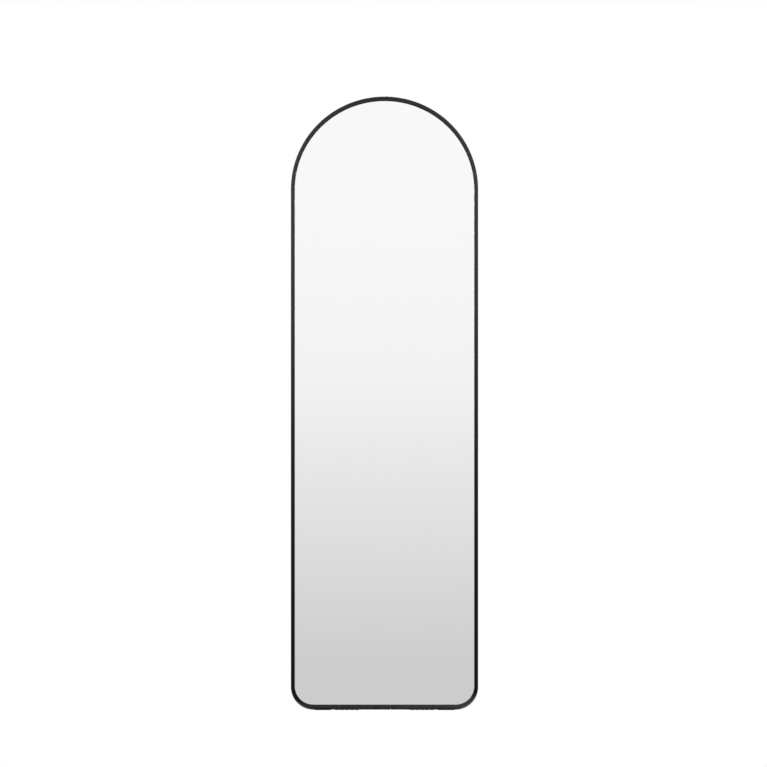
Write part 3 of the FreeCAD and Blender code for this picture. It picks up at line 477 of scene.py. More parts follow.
class Nodes:
    """The shader nodes of one material, or of the world."""

    def __init__(self, tree):
        self.tree = tree
        tree.nodes.clear()

    def add(self, kind, settings=None, sockets=None, output=0):
        """Adds a node: its settings first, a ramp's stops among them, then its sockets' values or links."""
        node = self.tree.nodes.new(kind)
        for key, value in (settings or {}).items():
            if key == "stops":
                place_stops(node.color_ramp, value)
            else:
                setattr(node, key, value)
        for key, value in (sockets or {}).items():
            if isinstance(value, Value):
                self.tree.links.new(value.socket, node.inputs[key])
            else:
                node.inputs[key].default_value = value
        return Value(self, node.outputs[output]) if node.outputs else None

    def object_place(self):
        """Object coordinates, which are the frame's own metres."""
        return self.add("ShaderNodeTexCoord", output="Object")

    def axis(self, place, name):
        """The X, Y or Z of a place."""
        return self.add("ShaderNodeSeparateXYZ", None, {0: place}, output=name)

    def ray(self, name):
        """1 for rays of a kind, and 0 for all others."""
        return self.add("ShaderNodeLightPath", output=f"Is {name} Ray")

    def stretched(self, place, lengths, turn=0.0):
        """Coordinates for a pattern drawn out by these lengths along x, y and z, and turned about y."""
        return self.add("ShaderNodeMapping", {"vector_type": "TEXTURE"},
                        {"Vector": place, "Scale": lengths, "Rotation": (0, turn, 0)})

    def noise(self, place, grain, detail=2.0):
        """Smooth noise about 0.5, with grains of a size in metres."""
        return self.add("ShaderNodeTexNoise", None, {"Vector": place, "Scale": 1 / grain, "Detail": detail})

    def patches(self, place, grain, detail=4.0, low=0.3, high=0.7):
        """Noise drawn apart into soft patches from 0 to 1."""
        return self.spread(self.noise(place, grain, detail), low, high)

    def spread(self, value, low, high):
        """0 up to low, 1 from high on, and smooth between them."""
        return self.add("ShaderNodeMapRange", {"interpolation_type": "SMOOTHSTEP"},
                        {"Value": value, "From Min": low, "From Max": high})

    def blend(self, mask, first, second):
        """From the first colour to the second as the mask goes from 0 to 1."""
        return self.add("ShaderNodeMix", {"data_type": "RGBA"}, {0: mask, 6: first, 7: second}, output=2)

    def relief(self, height, depth):
        """Bumps of a depth in metres."""
        return self.add("ShaderNodeBump", None, {"Height": height, "Distance": depth, "Strength": 1.0})


def grey(level):
    """A grey, as the four numbers of a colour socket."""
    return (level, level, level, 1.0)


def tone(colour_value, factor=1.0):
    """A colour made lighter or darker, as the four numbers of a colour socket."""
    return (*(min(1.0, part * factor) for part in colour_value), 1.0)


def place_stops(ramp, stops):
    """Gives a colour ramp its stops, each a place and a grey tone."""
    while len(ramp.elements) < len(stops):
        ramp.elements.new(1.0)
    for element, (place, level) in zip(ramp.elements, stops):
        element.position = place
        element.color = grey(level)


def new_finish(title):
    """An empty material and its nodes."""
    material = bpy.data.materials.new(title)
    material.use_nodes = True
    return material, Nodes(material.node_tree)


def close_finish(nodes, sockets):
    """Ends a material in one Principled shader."""
    shader = nodes.add("ShaderNodeBsdfPrincipled", None, sockets)
    nodes.add("ShaderNodeOutputMaterial", None, {"Surface": shader})


def mottled(title, shade, look, *, drift, patch, roughness, swing, grain, depth, stretch=(1, 1, 1),
            **constant):
    """A finish whose tone drifts over patches and whose grain changes its gloss and its height.

    Colour from shade / drift to shade x drift, roughness +- swing / 2, and bumps of a depth. Patch, grain
    and depth are in metres, and constant holds sockets that are the same all over.
    """
    material, nodes = new_finish(title)
    base = getattr(look, shade)
    place = nodes.object_place()
    patches = nodes.patches(place, patch)
    grains = nodes.noise(nodes.stretched(place, stretch), grain, detail=3.0)
    close_finish(nodes, {
        "Base Color": nodes.blend(patches, tone(base, 1 / drift), tone(base, drift)),
        "Roughness": roughness + swing * (grains - 0.5),
        "Normal": nodes.relief(grains, depth),
        **constant,
    })
    return material


def satin_coating(look):
    """Satin black on the extrusion: fine orange peel, edges rubbed a little brighter, and a painted sheen on the
    sill.

    The painted sheen is a lighter grey that stands in for light reflected off the sill. It is stronger, and
    reaches a little higher, on the right than on the left.
    """
    material, nodes = new_finish("satin black")
    place = nodes.object_place()
    across, height = nodes.axis(place, "X"), nodes.axis(place, "Z")
    # Painted sheen: a mask that lightens the sill's colour where reflected light would brighten it. It is stronger
    # to the right and fades upwards.
    strong = look.sheen_left + (1 - look.sheen_left) * nodes.spread(across, look.sheen_thin, look.sheen_thick)
    painted_sheen = strong * (1 - nodes.spread(height - look.sheen_tilt * across, look.sheen_full, look.sheen_end))
    patches = nodes.patches(place, grain=0.12)
    peel = nodes.noise(place, grain=0.0011)
    edge = nodes.add("ShaderNodeAttribute", {"attribute_name": "edge"}, output="Fac")
    rubbed = edge * (0.4 + 0.6 * patches)
    even = nodes.blend(patches, tone(look.coating, factor=0.9), tone(look.coating, factor=1.1))
    worn = nodes.blend(rubbed, even, tone(look.coating, factor=1.6))
    close_finish(nodes, {
        # The worn satin black, blended towards the lighter grey of the painted sheen on the sill
        "Base Color": nodes.blend(painted_sheen, worn, tone(look.sheen)),
        "Roughness": 0.23 + 0.05 * (peel - 0.5) + 0.02 * (patches - 0.5) - 0.03 * rubbed,
        "Specular IOR Level": 0.09,
        "Normal": nodes.relief(peel, depth=0.000001),
    })
    return material


def silvered_glass(look, title="silvered glass", cover=1.0):
    """The silvering at the back of the pane, with the faintest marks of wiping."""
    material, nodes = new_finish(title)
    wiped = nodes.stretched(nodes.object_place(), (1, 1, 3), turn=0.4)
    swirls = nodes.patches(wiped, grain=0.09, detail=5.0, low=0.45, high=0.75)
    close_finish(nodes, {
        "Base Color": nodes.blend(swirls, tone(look.silver), tone(look.silver, factor=0.996)),
        "Roughness": 0.004 + 0.01 * swirls,
        "Metallic": 1.0,
        "Alpha": cover,
    })
    return material


def clear_front(look):
    """The clear front of the pane, which reflects a little by itself and shows the silvering behind it."""
    return silvered_glass(look, "clear glass front", look.clear)


def hardboard(look):
    """Pressed brown fibres: soft patches, short fibres two ways, dark flecks and the press screen's mesh."""
    material, nodes = new_finish("hardboard")
    place = nodes.object_place()
    patches = nodes.noise(place, grain=0.16, detail=5.0)
    fibres = nodes.noise(nodes.stretched(place, (1, 1, 4), turn=0.7), grain=0.0013, detail=3.0)
    cross = nodes.noise(nodes.stretched(place, (1, 1, 4), turn=-0.9), grain=0.0017, detail=3.0)
    flecks = nodes.patches(nodes.stretched(place, (1, 1, 2), turn=0.3), grain=0.0012, detail=1.0,
                           low=0.7, high=0.78)
    thread_pitch = 0.0016
    turns = 2 * math.pi / thread_pitch
    threads = (nodes.axis(place, "X") * turns).sine() * (nodes.axis(place, "Z") * turns).sine()
    mixed = 0.24 * patches + 0.42 * fibres + 0.34 * cross
    ground = nodes.blend(nodes.spread(mixed, low=0.36, high=0.64), tone(look.board, factor=0.84),
                         tone(look.board, factor=1.18))
    close_finish(nodes, {
        "Base Color": nodes.blend(flecks * 0.45, ground, tone(look.board, factor=0.45)),
        "Roughness": 0.72 + 0.16 * (fibres - 0.5),
        "Normal": nodes.relief(0.6 * mixed + 0.15 * threads, depth=0.00012),
        "Specular IOR Level": 0.3,
    })
    return material


def zinc_plating(look):
    """Zinc: small crystals in slightly different greys, and a soft bloom."""
    material, nodes = new_finish("zinc plating")
    place = nodes.object_place()
    crystal_size = 0.0035
    crystals = nodes.add("ShaderNodeTexVoronoi", None, {"Vector": place, "Scale": 1 / crystal_size},
                         output="Color")
    shade = nodes.add("ShaderNodeSeparateColor", None, {0: crystals})
    bloom = nodes.patches(place, grain=0.02, detail=5.0, low=0.35)
    mixed = 0.55 * shade + 0.45 * bloom
    close_finish(nodes, {
        "Base Color": nodes.blend(mixed, tone(look.zinc, factor=0.8), tone(look.zinc, factor=1.12)),
        "Roughness": 0.26 + 0.12 * shade + 0.1 * bloom,
        "Metallic": 1.0,
        "Normal": nodes.relief(nodes.noise(place, grain=0.0009), depth=0.000008),
    })
    return material


FINISHES = {
    "satin_coating": satin_coating,
    "silvered_glass": silvered_glass,
    "clear_front": clear_front,
    "hardboard": hardboard,
    "zinc": zinc_plating,
    "matt_coating": partial(
        mottled, "matt black", "coating", drift=1.1, patch=0.12, roughness=0.8, swing=0.1, grain=0.0011,
        depth=0.000002, **{"Specular IOR Level": 0.02}),
    "aluminium": partial(
        mottled, "bare aluminium", "aluminium", drift=1.08, patch=0.03, roughness=0.34, swing=0.22,
        grain=0.0006, depth=0.00001, stretch=(16, 1, 1), Metallic=1.0),
    "back_paint": partial(
        mottled, "mirror back paint", "paint", drift=1.1, patch=0.05, roughness=0.5, swing=0.12, grain=0.002,
        depth=0.00001),
    "powder_coat": partial(
        mottled, "black powder coat", "powder", drift=1.15, patch=0.06, roughness=0.5, swing=0.16,
        grain=0.0008, depth=0.00004),
    "black_oxide": partial(
        mottled, "black oxide", "oxide", drift=1.3, patch=0.004, roughness=0.36, swing=0.2, grain=0.0005,
        depth=0.00001, Metallic=0.7),
    "spring_steel": partial(
        mottled, "spring steel", "spring", drift=1.15, patch=0.01, roughness=0.32, swing=0.2, grain=0.0007,
        depth=0.00001, stretch=(10, 1, 1), Metallic=1.0),
    "rubber": partial(
        mottled, "black rubber", "rubber", drift=1.35, patch=0.012, roughness=0.74, swing=0.16, grain=0.0007,
        depth=0.00005, **{"Specular IOR Level": 0.35}),
    "soft_strip": partial(
        mottled, "soft black strip", "rubber", drift=1.2, patch=0.02, roughness=0.66, swing=0.12,
        grain=0.0009, depth=0.00003),
    "sealant": partial(
        mottled, "black sealant", "rubber", drift=1.1, patch=0.004, roughness=0.5, swing=0.14, grain=0.0008,
        depth=0.00004, **{"Specular IOR Level": 0.15}),
    "nylon": partial(
        mottled, "natural nylon", "nylon", drift=1.06, patch=0.004, roughness=0.42, swing=0.12, grain=0.0006,
        depth=0.00001),
    "plug_plastic": partial(
        mottled, "moulded black plastic", "plastic", drift=1.15, patch=0.006, roughness=0.46, swing=0.14,
        grain=0.0005, depth=0.00003),
    "film": partial(
        mottled, "safety film", "film", drift=1.06, patch=0.08, roughness=0.4, swing=0.1, grain=0.004,
        depth=0.00001),
}
made_finishes = {}


def finish(context, name):
    """The material of a finish, made when it is first asked for."""
    if name not in made_finishes:
        made_finishes[name] = FINISHES[name](context.scene.mirror_finishes)
    return made_finishes[name]


# Objects

def add_mesh(name, shape, materials):
    """A mesh object of a shape at the origin, smooth up to SHARP_ANGLE, with its materials as slots."""
    points, polygons = shape
    mesh = bpy.data.meshes.new(name)
    mesh.from_pydata(points, [], [face for block in polygons for face in block.tolist()])
    mesh.shade_smooth()
    mesh.set_sharp_from_angle(angle=SHARP_ANGLE)
    for material in materials:
        mesh.materials.append(material)
    made = bpy.data.objects.new(name, mesh)
    bpy.context.collection.objects.link(made)
    return made


def add_piece(context, name, shape, finishes, nodes, body="mirror"):
    """A piece of the object: it rides on a body, and stands for CAD nodes."""
    piece = add_mesh(name, shape, [finish(context, each) for each in finishes])
    piece.modifiers.new("Even shading", "WEIGHTED_NORMAL").keep_sharp = True
    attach(piece, body)
    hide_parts(*nodes)
    return piece


def coat(context, finish_name, *nodes):
    """Gives CAD nodes that keep their own shape a finish."""
    for node in nodes:
        for slot in frame["nodes"][node].material_slots:
            slot.material = finish(context, finish_name)


# Frame and panes

def frame_section(size):
    """Corners of the extrusion's section: inset from the outside, depth from the front, corner radius."""
    fine = size.fine_round
    face = size.face
    inner = face - size.wall
    rib = size.rib_front
    channel_front = rib + size.wall
    channel_back = size.depth - size.wall
    return [
        (0, 0, size.outer_round),
        (0, size.depth, size.rear_round),
        (face, size.depth, size.rear_round),
        (face, channel_back - size.channel_lip, fine),
        (inner, channel_back - size.channel_lip, fine),
        (inner, channel_back, fine),
        (size.wall, channel_back, fine),
        (size.wall, channel_front, fine),
        (inner, channel_front, fine),
        (inner, channel_front + size.channel_lip, fine),
        (face, channel_front + size.channel_lip, fine),
        (face, rib, fine),
        (size.wall, rib, fine),
        (size.wall, size.wall, fine),
        (inner, size.wall, fine),
        (inner, size.lip_depth, fine),
        (face, size.lip_depth, fine),
        (face, 0, size.inner_round),
    ]


def frame_half(context, name, side):
    """One bent half: the section carried along half the outline, with the corners off its end in the sill.

    At the end the insets are held between the bevel and the face less the bevel. The metal that is bared
    there and on the cut has its own finish, and so has the lip's return, which nothing rubs.
    """
    size = context.scene.mirror_sizes
    bevel = size.sill_bevel
    section = eased(frame_section(size))
    inset, depth = section.T
    trimmed = np.stack([inset.clip(bevel, size.face - bevel), depth], axis=1)
    points, inward = half_path(size, side, size.sill_seam + side * size.sill_gap / 2,
                               size.crown_seam + side * size.crown_gap / 2, bevel)
    rings = np.concatenate([carry(trimmed, points[:1], inward[:1]), carry(section, points[1:], inward[1:])])
    half = add_piece(context, f"{name}_rail", shape_of(lean_back(rings, size)),
                     ["satin_coating", "aluminium", "matt_coating"], [f"frame_{name}"])
    satin, bare, matt = range(3)
    count = len(rings)
    cut = trimmed[:, 0] != inset
    lip = (inset > size.face - size.wall) & (depth >= size.inner_round)
    slots = np.tile(np.where(lip & np.roll(lip, -1), matt, satin), (count - 1, 1))
    slots[0] = np.where(cut | np.roll(cut, -1), bare, satin)
    half.data.polygons.foreach_set("material_index", np.append(slots, [bare, satin]))
    at_edge = (inset < size.outer_round) | (inset > size.face - size.inner_round)
    rounded = at_edge & (depth < size.outer_round)
    edge = half.data.attributes.new("edge", "FLOAT", "POINT")
    edge.data.foreach_set("value", np.tile(rounded.astype(float), count))


def crown_filler(size):
    """The bead over the crown seam: a flat arc across, drawn down at both ends by sqrt(1 - drop x along^32).

    Its radius is (half width^2 + height^2) / (2 x height). It stands on the arch and reaches a little below.
    """
    drop, squareness = 0.96, 32
    rows, columns = BEAD_STEPS
    half = size.width / 2
    along = np.sin(np.linspace(-math.pi / 2, math.pi / 2, rows))[:, None]
    across = np.linspace(-1, 1, columns) * size.bead_width / 2
    x = np.broadcast_to(size.crown_seam + across, BEAD_STEPS)
    skin = size.height - half + np.sqrt(half ** 2 - x ** 2)
    radius = (size.bead_width ** 2 / 4 + size.bead_height ** 2) / (2 * size.bead_height)
    arc = np.sqrt(radius ** 2 - across ** 2) - radius + size.bead_height
    rise = arc * np.sqrt(1 - drop * along ** squareness)
    middle = (size.outer_round + size.depth) / 2
    y = np.broadcast_to(middle + along * (size.depth - size.outer_round) / 2, BEAD_STEPS)
    top = np.stack([x, y, skin + rise], axis=-1)
    sole = np.stack([x, y, skin - size.bead_height / 4], axis=-1)
    return np.concatenate([top, sole[:, ::-1]], axis=1)


def pane(size, front, thickness, arris):
    """A pane in the groove: the outline at the inset of each row of its edge, from front to back."""
    edge = np.array([
        (size.pane_inset + arris, front),
        (size.pane_inset, front + arris),
        (size.pane_inset, front + thickness - arris),
        (size.pane_inset + arris, front + thickness),
    ])
    return carry(edge, *whole_path(size)).swapaxes(0, 1)


def glazing_section(size):
    """The strip between lip and glass, as an eased section of (inset, depth)."""
    soft = size.strip_round
    return eased([
        (size.strip_inset, size.wall, soft),
        (size.strip_inset, size.glass_front, soft),
        (size.strip_edge, size.glass_front, soft),
        (size.strip_edge, size.wall, soft),
    ])


# Fittings

def cross_recess(fit, radius):
    """Depth of a cross recess: full where either arm reaches, with walls that lean over a short way."""
    soft = fit.recess_arm / 3
    across, up = np.abs(radius * np.cos(ROUND)), np.abs(radius * np.sin(ROUND))

    def arm(along, side):
        return ((fit.recess_span - along) / soft).clip(0, 1) * ((fit.recess_arm - side) / soft).clip(0, 1)

    return fit.recess_depth * np.maximum(arm(across, up), arm(up, across))


def hex_reach(flat):
    """Distance from the middle of a hexagon to its side: flat / cos(angle from the nearest flat)."""
    sixth = math.pi / 3
    return flat / np.cos((ROUND + sixth / 2) % sixth - sixth / 2)


def pan_screw(fit):
    """A pan head with a cross recess on a plain shank, along y: the head's top is flat less the recess."""
    turn = quarter(HEAD_STEPS)
    flat = fit.screw_head - fit.screw_round
    inside = rings_in(flat, TOP_STEPS, TOP_MIDDLE)
    point = fit.screw_radius / 4
    radius = column(fit.screw_radius - point, fit.screw_radius, fit.screw_radius, fit.screw_head,
                    flat + fit.screw_round * np.cos(turn), inside)
    shoulder = fit.screw_top - fit.screw_round
    along = column(-fit.screw_length, point - fit.screw_length, 0, 0,
                   shoulder + fit.screw_round * np.sin(turn), np.full_like(inside, fit.screw_top))
    sunk = np.where(along == fit.screw_top, cross_recess(fit, radius), 0)
    return turned(along - sunk, radius, ALONG_Y)


def button_bolt(fit):
    """A button head with a hexagon socket on a plain shank, along x from the top of its head."""
    turn = quarter(HEAD_STEPS)
    flat = fit.bolt_head - fit.bolt_round
    inside = rings_in(flat, TOP_STEPS, TOP_MIDDLE)[::-1]
    point = fit.bolt_radius / 5
    radius = column(inside, flat + fit.bolt_round * np.sin(turn), fit.bolt_head, fit.bolt_radius,
                    fit.bolt_radius, fit.bolt_radius - point)
    end = fit.bolt_end - fit.ear_inner
    along = column(np.full_like(inside, -fit.bolt_top), fit.bolt_round * (1 - np.cos(turn)) - fit.bolt_top,
                   0, 0, end - point, end)
    wall = fit.bolt_socket / 12
    socket = fit.socket_depth * ((hex_reach(fit.bolt_socket) - radius) / wall).clip(0, 1)
    return turned(along + np.where(along == -fit.bolt_top, socket, 0), radius, ALONG_X)


def lock_nut(fit):
    """A hexagon with chamfered corners and a round collar, along x: radius = lesser of hexagon and limit."""
    no_limit = 2 * fit.nut_flat
    chamfer = fit.nut_height / 10
    top = fit.nut_height + fit.collar_height
    ease = fit.collar_height / 3
    limit = column(fit.pivot_bore, fit.nut_face, no_limit, no_limit, fit.nut_face, fit.collar_radius,
                   fit.collar_radius, fit.collar_radius - ease, fit.pivot_bore)
    along = column(0, 0, chamfer, fit.nut_height - chamfer, fit.nut_height, fit.nut_height,
                   top - ease, top, top)
    return turned(along, np.minimum(limit, hex_reach(fit.nut_flat)), ALONG_X)


def ring_piece(corners):
    """A piece with a bore, along x: an eased section of (along, radius, corner radius) turned round it."""
    section = eased(corners)
    return turned(section[:, :1], section[:, 1:], ALONG_X)


def washer(fit):
    """A flat ring with eased edges."""
    soft = fit.washer_thickness / 6
    return ring_piece([
        (0, fit.pivot_bore, soft),
        (0, fit.washer_radius, soft),
        (fit.washer_thickness, fit.washer_radius, soft),
        (fit.washer_thickness, fit.pivot_bore, soft),
    ])


def tube_plug(fit):
    """A stub and a flange with a rounded rim, along z from the end of the tube."""
    ease = fit.plug_flange / 3
    turn = quarter(PLUG_STEPS)
    along = column(-fit.plug_stub, 0, 0, fit.plug_flange - ease + ease * np.sin(turn))
    radius = column(fit.plug_radius, fit.plug_radius, fit.tube_radius,
                    fit.tube_radius - ease + ease * np.cos(turn))
    return turned(along, radius, ALONG_Z)


def sleeve(fit):
    """A sleeve with rounded rims and four grooves, an even pitch apart."""
    half, rim = fit.sleeve_length / 2, fit.groove_depth
    soft = rim / 3
    floor = fit.sleeve_radius - fit.groove_depth
    corners = [(-half, fit.sleeve_bore, soft), (-half, fit.sleeve_radius, rim)]
    for middle in np.array((-1.5, -0.5, 0.5, 1.5)) * fit.groove_pitch:
        low, high = middle - fit.groove_width / 2, middle + fit.groove_width / 2
        corners += [(low, fit.sleeve_radius, soft), (low, floor, soft), (high, floor, soft),
                    (high, fit.sleeve_radius, soft)]
    return ring_piece(corners + [(half, fit.sleeve_radius, rim), (half, fit.sleeve_bore, soft)])


def sole_pad(size, fit):
    """A wedge with eased corners, carried along x and drawn in a little at both ends.

    Its sole lies level when the mirror leans: z = (y - depth) tan(LEAN) - height / cos(LEAN).
    """
    soft = fit.pad_height / 3
    corners = [(fit.pad_front, 0.0, soft), (fit.pad_back, 0.0, soft)]
    for y in (fit.pad_back, fit.pad_front):
        corners.append((y, (y - size.depth) * math.tan(LEAN) - fit.pad_height / math.cos(LEAN), soft))
    section = eased(corners)
    half = fit.pad_length / 2
    x = column(-half, soft - half, half - soft, half)
    shrink = column(fit.pad_ends, 1.0, 1.0, fit.pad_ends)
    middle = section.mean(axis=0)
    drawn = middle + shrink[..., None] * (section - middle)
    return np.stack([np.broadcast_to(x, drawn.shape[:2]), drawn[..., 0], drawn[..., 1]], axis=-1)


def bumper(fit):
    """A button with a rounded rim, along y from the frame's rear face."""
    turn = quarter(BUMPER_STEPS)
    flat = fit.bumper_radius - fit.bumper_round
    inside = rings_in(flat, BUMPER_TOP_STEPS, BUMPER_TOP_MIDDLE)
    along = column(0, fit.bumper_height - fit.bumper_round * (1 - np.sin(turn)),
                   np.full_like(inside, fit.bumper_height))
    radius = column(fit.bumper_radius, flat + fit.bumper_round * np.cos(turn), inside)
    return turned(along, radius, ALONG_Y)


def rail_places(size, depth, heights):
    """Places in the middle of both side rails, upright."""
    x = size.width / 2 - size.face / 2
    return [(side * x, depth, height) for side in SIDES.values() for height in heights]


def key_places(size, fit):
    """The screws of both keys, upright: along the sill, and round the crown at the channel's radius."""
    radius = size.width / 2 - size.face / 2
    spring = size.height - size.width / 2
    places = []
    for step in (-fit.key_far, -fit.key_near, fit.key_near, fit.key_far):
        turn = (size.crown_seam + step) / radius
        places.append((size.sill_seam + step, size.depth, size.face / 2))
        places.append((radius * math.sin(turn), size.depth, spring + radius * math.cos(turn)))
    return places


def leaning_set(rings, places, size):
    """Copies of a small piece at upright places on the mirror, as one shape."""
    return together([shape_of(lean_back(rings + np.array(place), size)) for place in places])


def on_pivot(rings, x, side, ends="caps"):
    """A piece about the pivots' axis, at x from the middle, on the left or the right."""
    return shape_of((rings + [x, 0, 0]) * [side, 1, 1] + PIVOT, ends)


def plate_screws(context, name, height, sheet, finish_name):
    """The four screws of a pair of plates on the side rails, as one piece."""
    size, fit = context.scene.mirror_sizes, context.scene.mirror_fittings
    heights = (height - fit.plate_pitch / 2, height + fit.plate_pitch / 2)
    screws = leaning_set(pan_screw(fit), rail_places(size, size.depth + sheet, heights), size)
    add_piece(context, f"{name}_set", screws, [finish_name], [name])


# Steps

class MirrorOperator:
    """What the operators share."""
    bl_options = {"REGISTER", "UNDO"}


class ARCHEDMIRROR_OT_frame(MirrorOperator, Operator):
    """Bend the two halves of the extrusion and lay the bead of filler over their seam in the crown"""
    bl_idname = "arched_mirror.frame"
    bl_label = "Frame"

    def execute(self, context):
        size = context.scene.mirror_sizes
        for name, side in SIDES.items():
            frame_half(context, name, side)
        bead = shape_of(lean_back(crown_filler(size), size))
        add_piece(context, "crown_filler", bead, ["sealant"], ["crown_bead"])
        return {"FINISHED"}


class ARCHEDMIRROR_OT_glass(MirrorOperator, Operator):
    """Set the pane in the frame: clear in front, silvered at its back, painted round its edge"""
    bl_idname = "arched_mirror.glass"
    bl_label = "Glass"

    def execute(self, context):
        size = context.scene.mirror_sizes
        rings = pane(size, size.glass_front, size.glass_thickness, size.glass_arris)
        glass = add_piece(context, "mirror_pane", shape_of(lean_back(rings, size)),
                          ["back_paint", "clear_front", "silvered_glass"], ["mirror_glass"])
        painted, clear, silvered = range(3)
        slots = np.full((len(rings) - 1) * rings.shape[1], painted)
        glass.data.polygons.foreach_set("material_index", np.append(slots, [clear, silvered]))
        return {"FINISHED"}


class ARCHEDMIRROR_OT_backing(MirrorOperator, Operator):
    """Put in the backing board, the glazing strip, the film, the setting blocks and the spring clips"""
    bl_idname = "arched_mirror.backing"
    bl_label = "Backing"

    def execute(self, context):
        size = context.scene.mirror_sizes
        board = pane(size, size.board_front, size.board_thickness, size.board_arris)
        add_piece(context, "hardboard_back", shape_of(lean_back(board, size)), ["hardboard"],
                  ["backing_board"])
        strip = carry(glazing_section(size), *whole_path(size))
        add_piece(context, "glazing_strip", shape_of(lean_back(strip, size), "loop"), ["soft_strip"],
                  ["glazing_gasket"])
        coat(context, "film", "safety_film")
        coat(context, "soft_strip", "setting_blocks")
        coat(context, "spring_steel", "spring_clips")
        return {"FINISHED"}


class ARCHEDMIRROR_OT_keys(MirrorOperator, Operator):
    """Finish the keys that join the halves, and drive their screws"""
    bl_idname = "arched_mirror.keys"
    bl_label = "Keys"

    def execute(self, context):
        size, fit = context.scene.mirror_sizes, context.scene.mirror_fittings
        coat(context, "aluminium", "sill_key", "crown_key")
        screws = leaning_set(pan_screw(fit), key_places(size, fit), size)
        add_piece(context, "key_screws_set", screws, ["black_oxide"], ["key_screws"])
        return {"FINISHED"}


class ARCHEDMIRROR_OT_hangers(MirrorOperator, Operator):
    """Finish the keyhole plates and their nut bars, and drive their screws"""
    bl_idname = "arched_mirror.hangers"
    bl_label = "Hangers"

    def execute(self, context):
        fit = context.scene.mirror_fittings
        for name in SIDES:
            coat(context, "zinc", f"hanger_plate_{name}", f"hanger_nut_bar_{name}")
        plate_screws(context, "hanger_screws", fit.hanger_height, fit.hanger_sheet, "zinc")
        return {"FINISHED"}


class ARCHEDMIRROR_OT_pivots(MirrorOperator, Operator):
    """Finish the stand's brackets, and fit their screws, bolts, washers and lock nuts"""
    bl_idname = "arched_mirror.pivots"
    bl_label = "Pivots"

    def execute(self, context):
        fit = context.scene.mirror_fittings
        plate_screws(context, "bracket_screws", fit.bracket_height, fit.bracket_sheet,
                     "black_oxide")
        washers, nuts = [], []
        for name, side in SIDES.items():
            coat(context, "powder_coat", f"bracket_{name}")
            coat(context, "zinc", f"bracket_nut_bar_{name}")
            bolt = on_pivot(button_bolt(fit), fit.ear_inner, side)
            add_piece(context, f"{name}_bolt", bolt, ["black_oxide"], [f"pivot_bolt_{name}"])
            for seat in (fit.ear_outer, fit.nut_seat - fit.washer_thickness):
                washers.append(on_pivot(washer(fit), seat, side, "loop"))
            nuts.append(on_pivot(lock_nut(fit), fit.nut_seat, side, "loop"))
        add_piece(context, "nylon_washers", together(washers), ["nylon"], ["pivot_washers"])
        add_piece(context, "lock_nuts", together(nuts), ["zinc"], ["pivot_nuts"])
        return {"FINISHED"}


class ARCHEDMIRROR_OT_stand(MirrorOperator, Operator):
    """Finish the stand's tube, and fit its plugs and its grooved sleeves"""
    bl_idname = "arched_mirror.stand"
    bl_label = "Stand"

    def execute(self, context):
        fit = context.scene.mirror_fittings
        coat(context, "powder_coat", "stand_leg")
        plugs, sleeves = [], []
        for side in SIDES.values():
            plugs.append(shape_of(swing_out(tube_plug(fit) + [side * fit.leg_x, 0, fit.tube_end])))
            sleeves.append(shape_of(swing_out(sleeve(fit) + [side * fit.sleeve_x, 0, -LEG_LENGTH]), "loop"))
        add_piece(context, "tube_plugs", together(plugs), ["plug_plastic"], ["stand_plugs"],
                  "stand")
        add_piece(context, "rubber_sleeves", together(sleeves), ["rubber"], ["stand_sleeves"],
                  "stand")
        return {"FINISHED"}


class ARCHEDMIRROR_OT_pads(MirrorOperator, Operator):
    """Stick on the sole pads under the sill and the bumpers on the rear face"""
    bl_idname = "arched_mirror.pads"
    bl_label = "Pads"

    def execute(self, context):
        size, fit = context.scene.mirror_sizes, context.scene.mirror_fittings
        places = [(side * fit.pad_x, 0, 0) for side in SIDES.values()]
        pads = leaning_set(sole_pad(size, fit), places, size)
        add_piece(context, "sole_pads", pads, ["rubber"], ["foot_pads"])
        places = rail_places(size, size.depth, (fit.bumper_low, fit.bumper_high))
        bumpers = leaning_set(bumper(fit), places, size)
        add_piece(context, "rubber_bumpers", bumpers, ["rubber"], ["wall_bumpers"])
        return {"FINISHED"}


# Stage

def floor_finish(stage):
    """A pale floor that turns white in the distance, and in a mirror to the tone of the wall's foot."""
    material, nodes = new_finish("studio floor")
    place = nodes.object_place()
    reach = nodes.add("ShaderNodeVectorMath", {"operation": "LENGTH"}, {0: place}, output="Value")
    grain = nodes.noise(place, grain=0.004)
    near = nodes.add("ShaderNodeBsdfDiffuse", None, {
        "Color": nodes.blend(grain, tone(stage.floor_colour, factor=0.985),
                             tone(stage.floor_colour, factor=1.015)),
    })
    far = nodes.add("ShaderNodeEmission", None, {
        "Color": nodes.blend(nodes.ray("Glossy"), grey(1.0), grey(stage.wall_dark)), "Strength": 1.0,
    })
    mixed = nodes.add("ShaderNodeMixShader", None, {
        0: nodes.spread(reach, stage.floor_near, stage.floor_far), 1: near, 2: far,
    })
    nodes.add("ShaderNodeOutputMaterial", None, {"Surface": mixed})
    return material


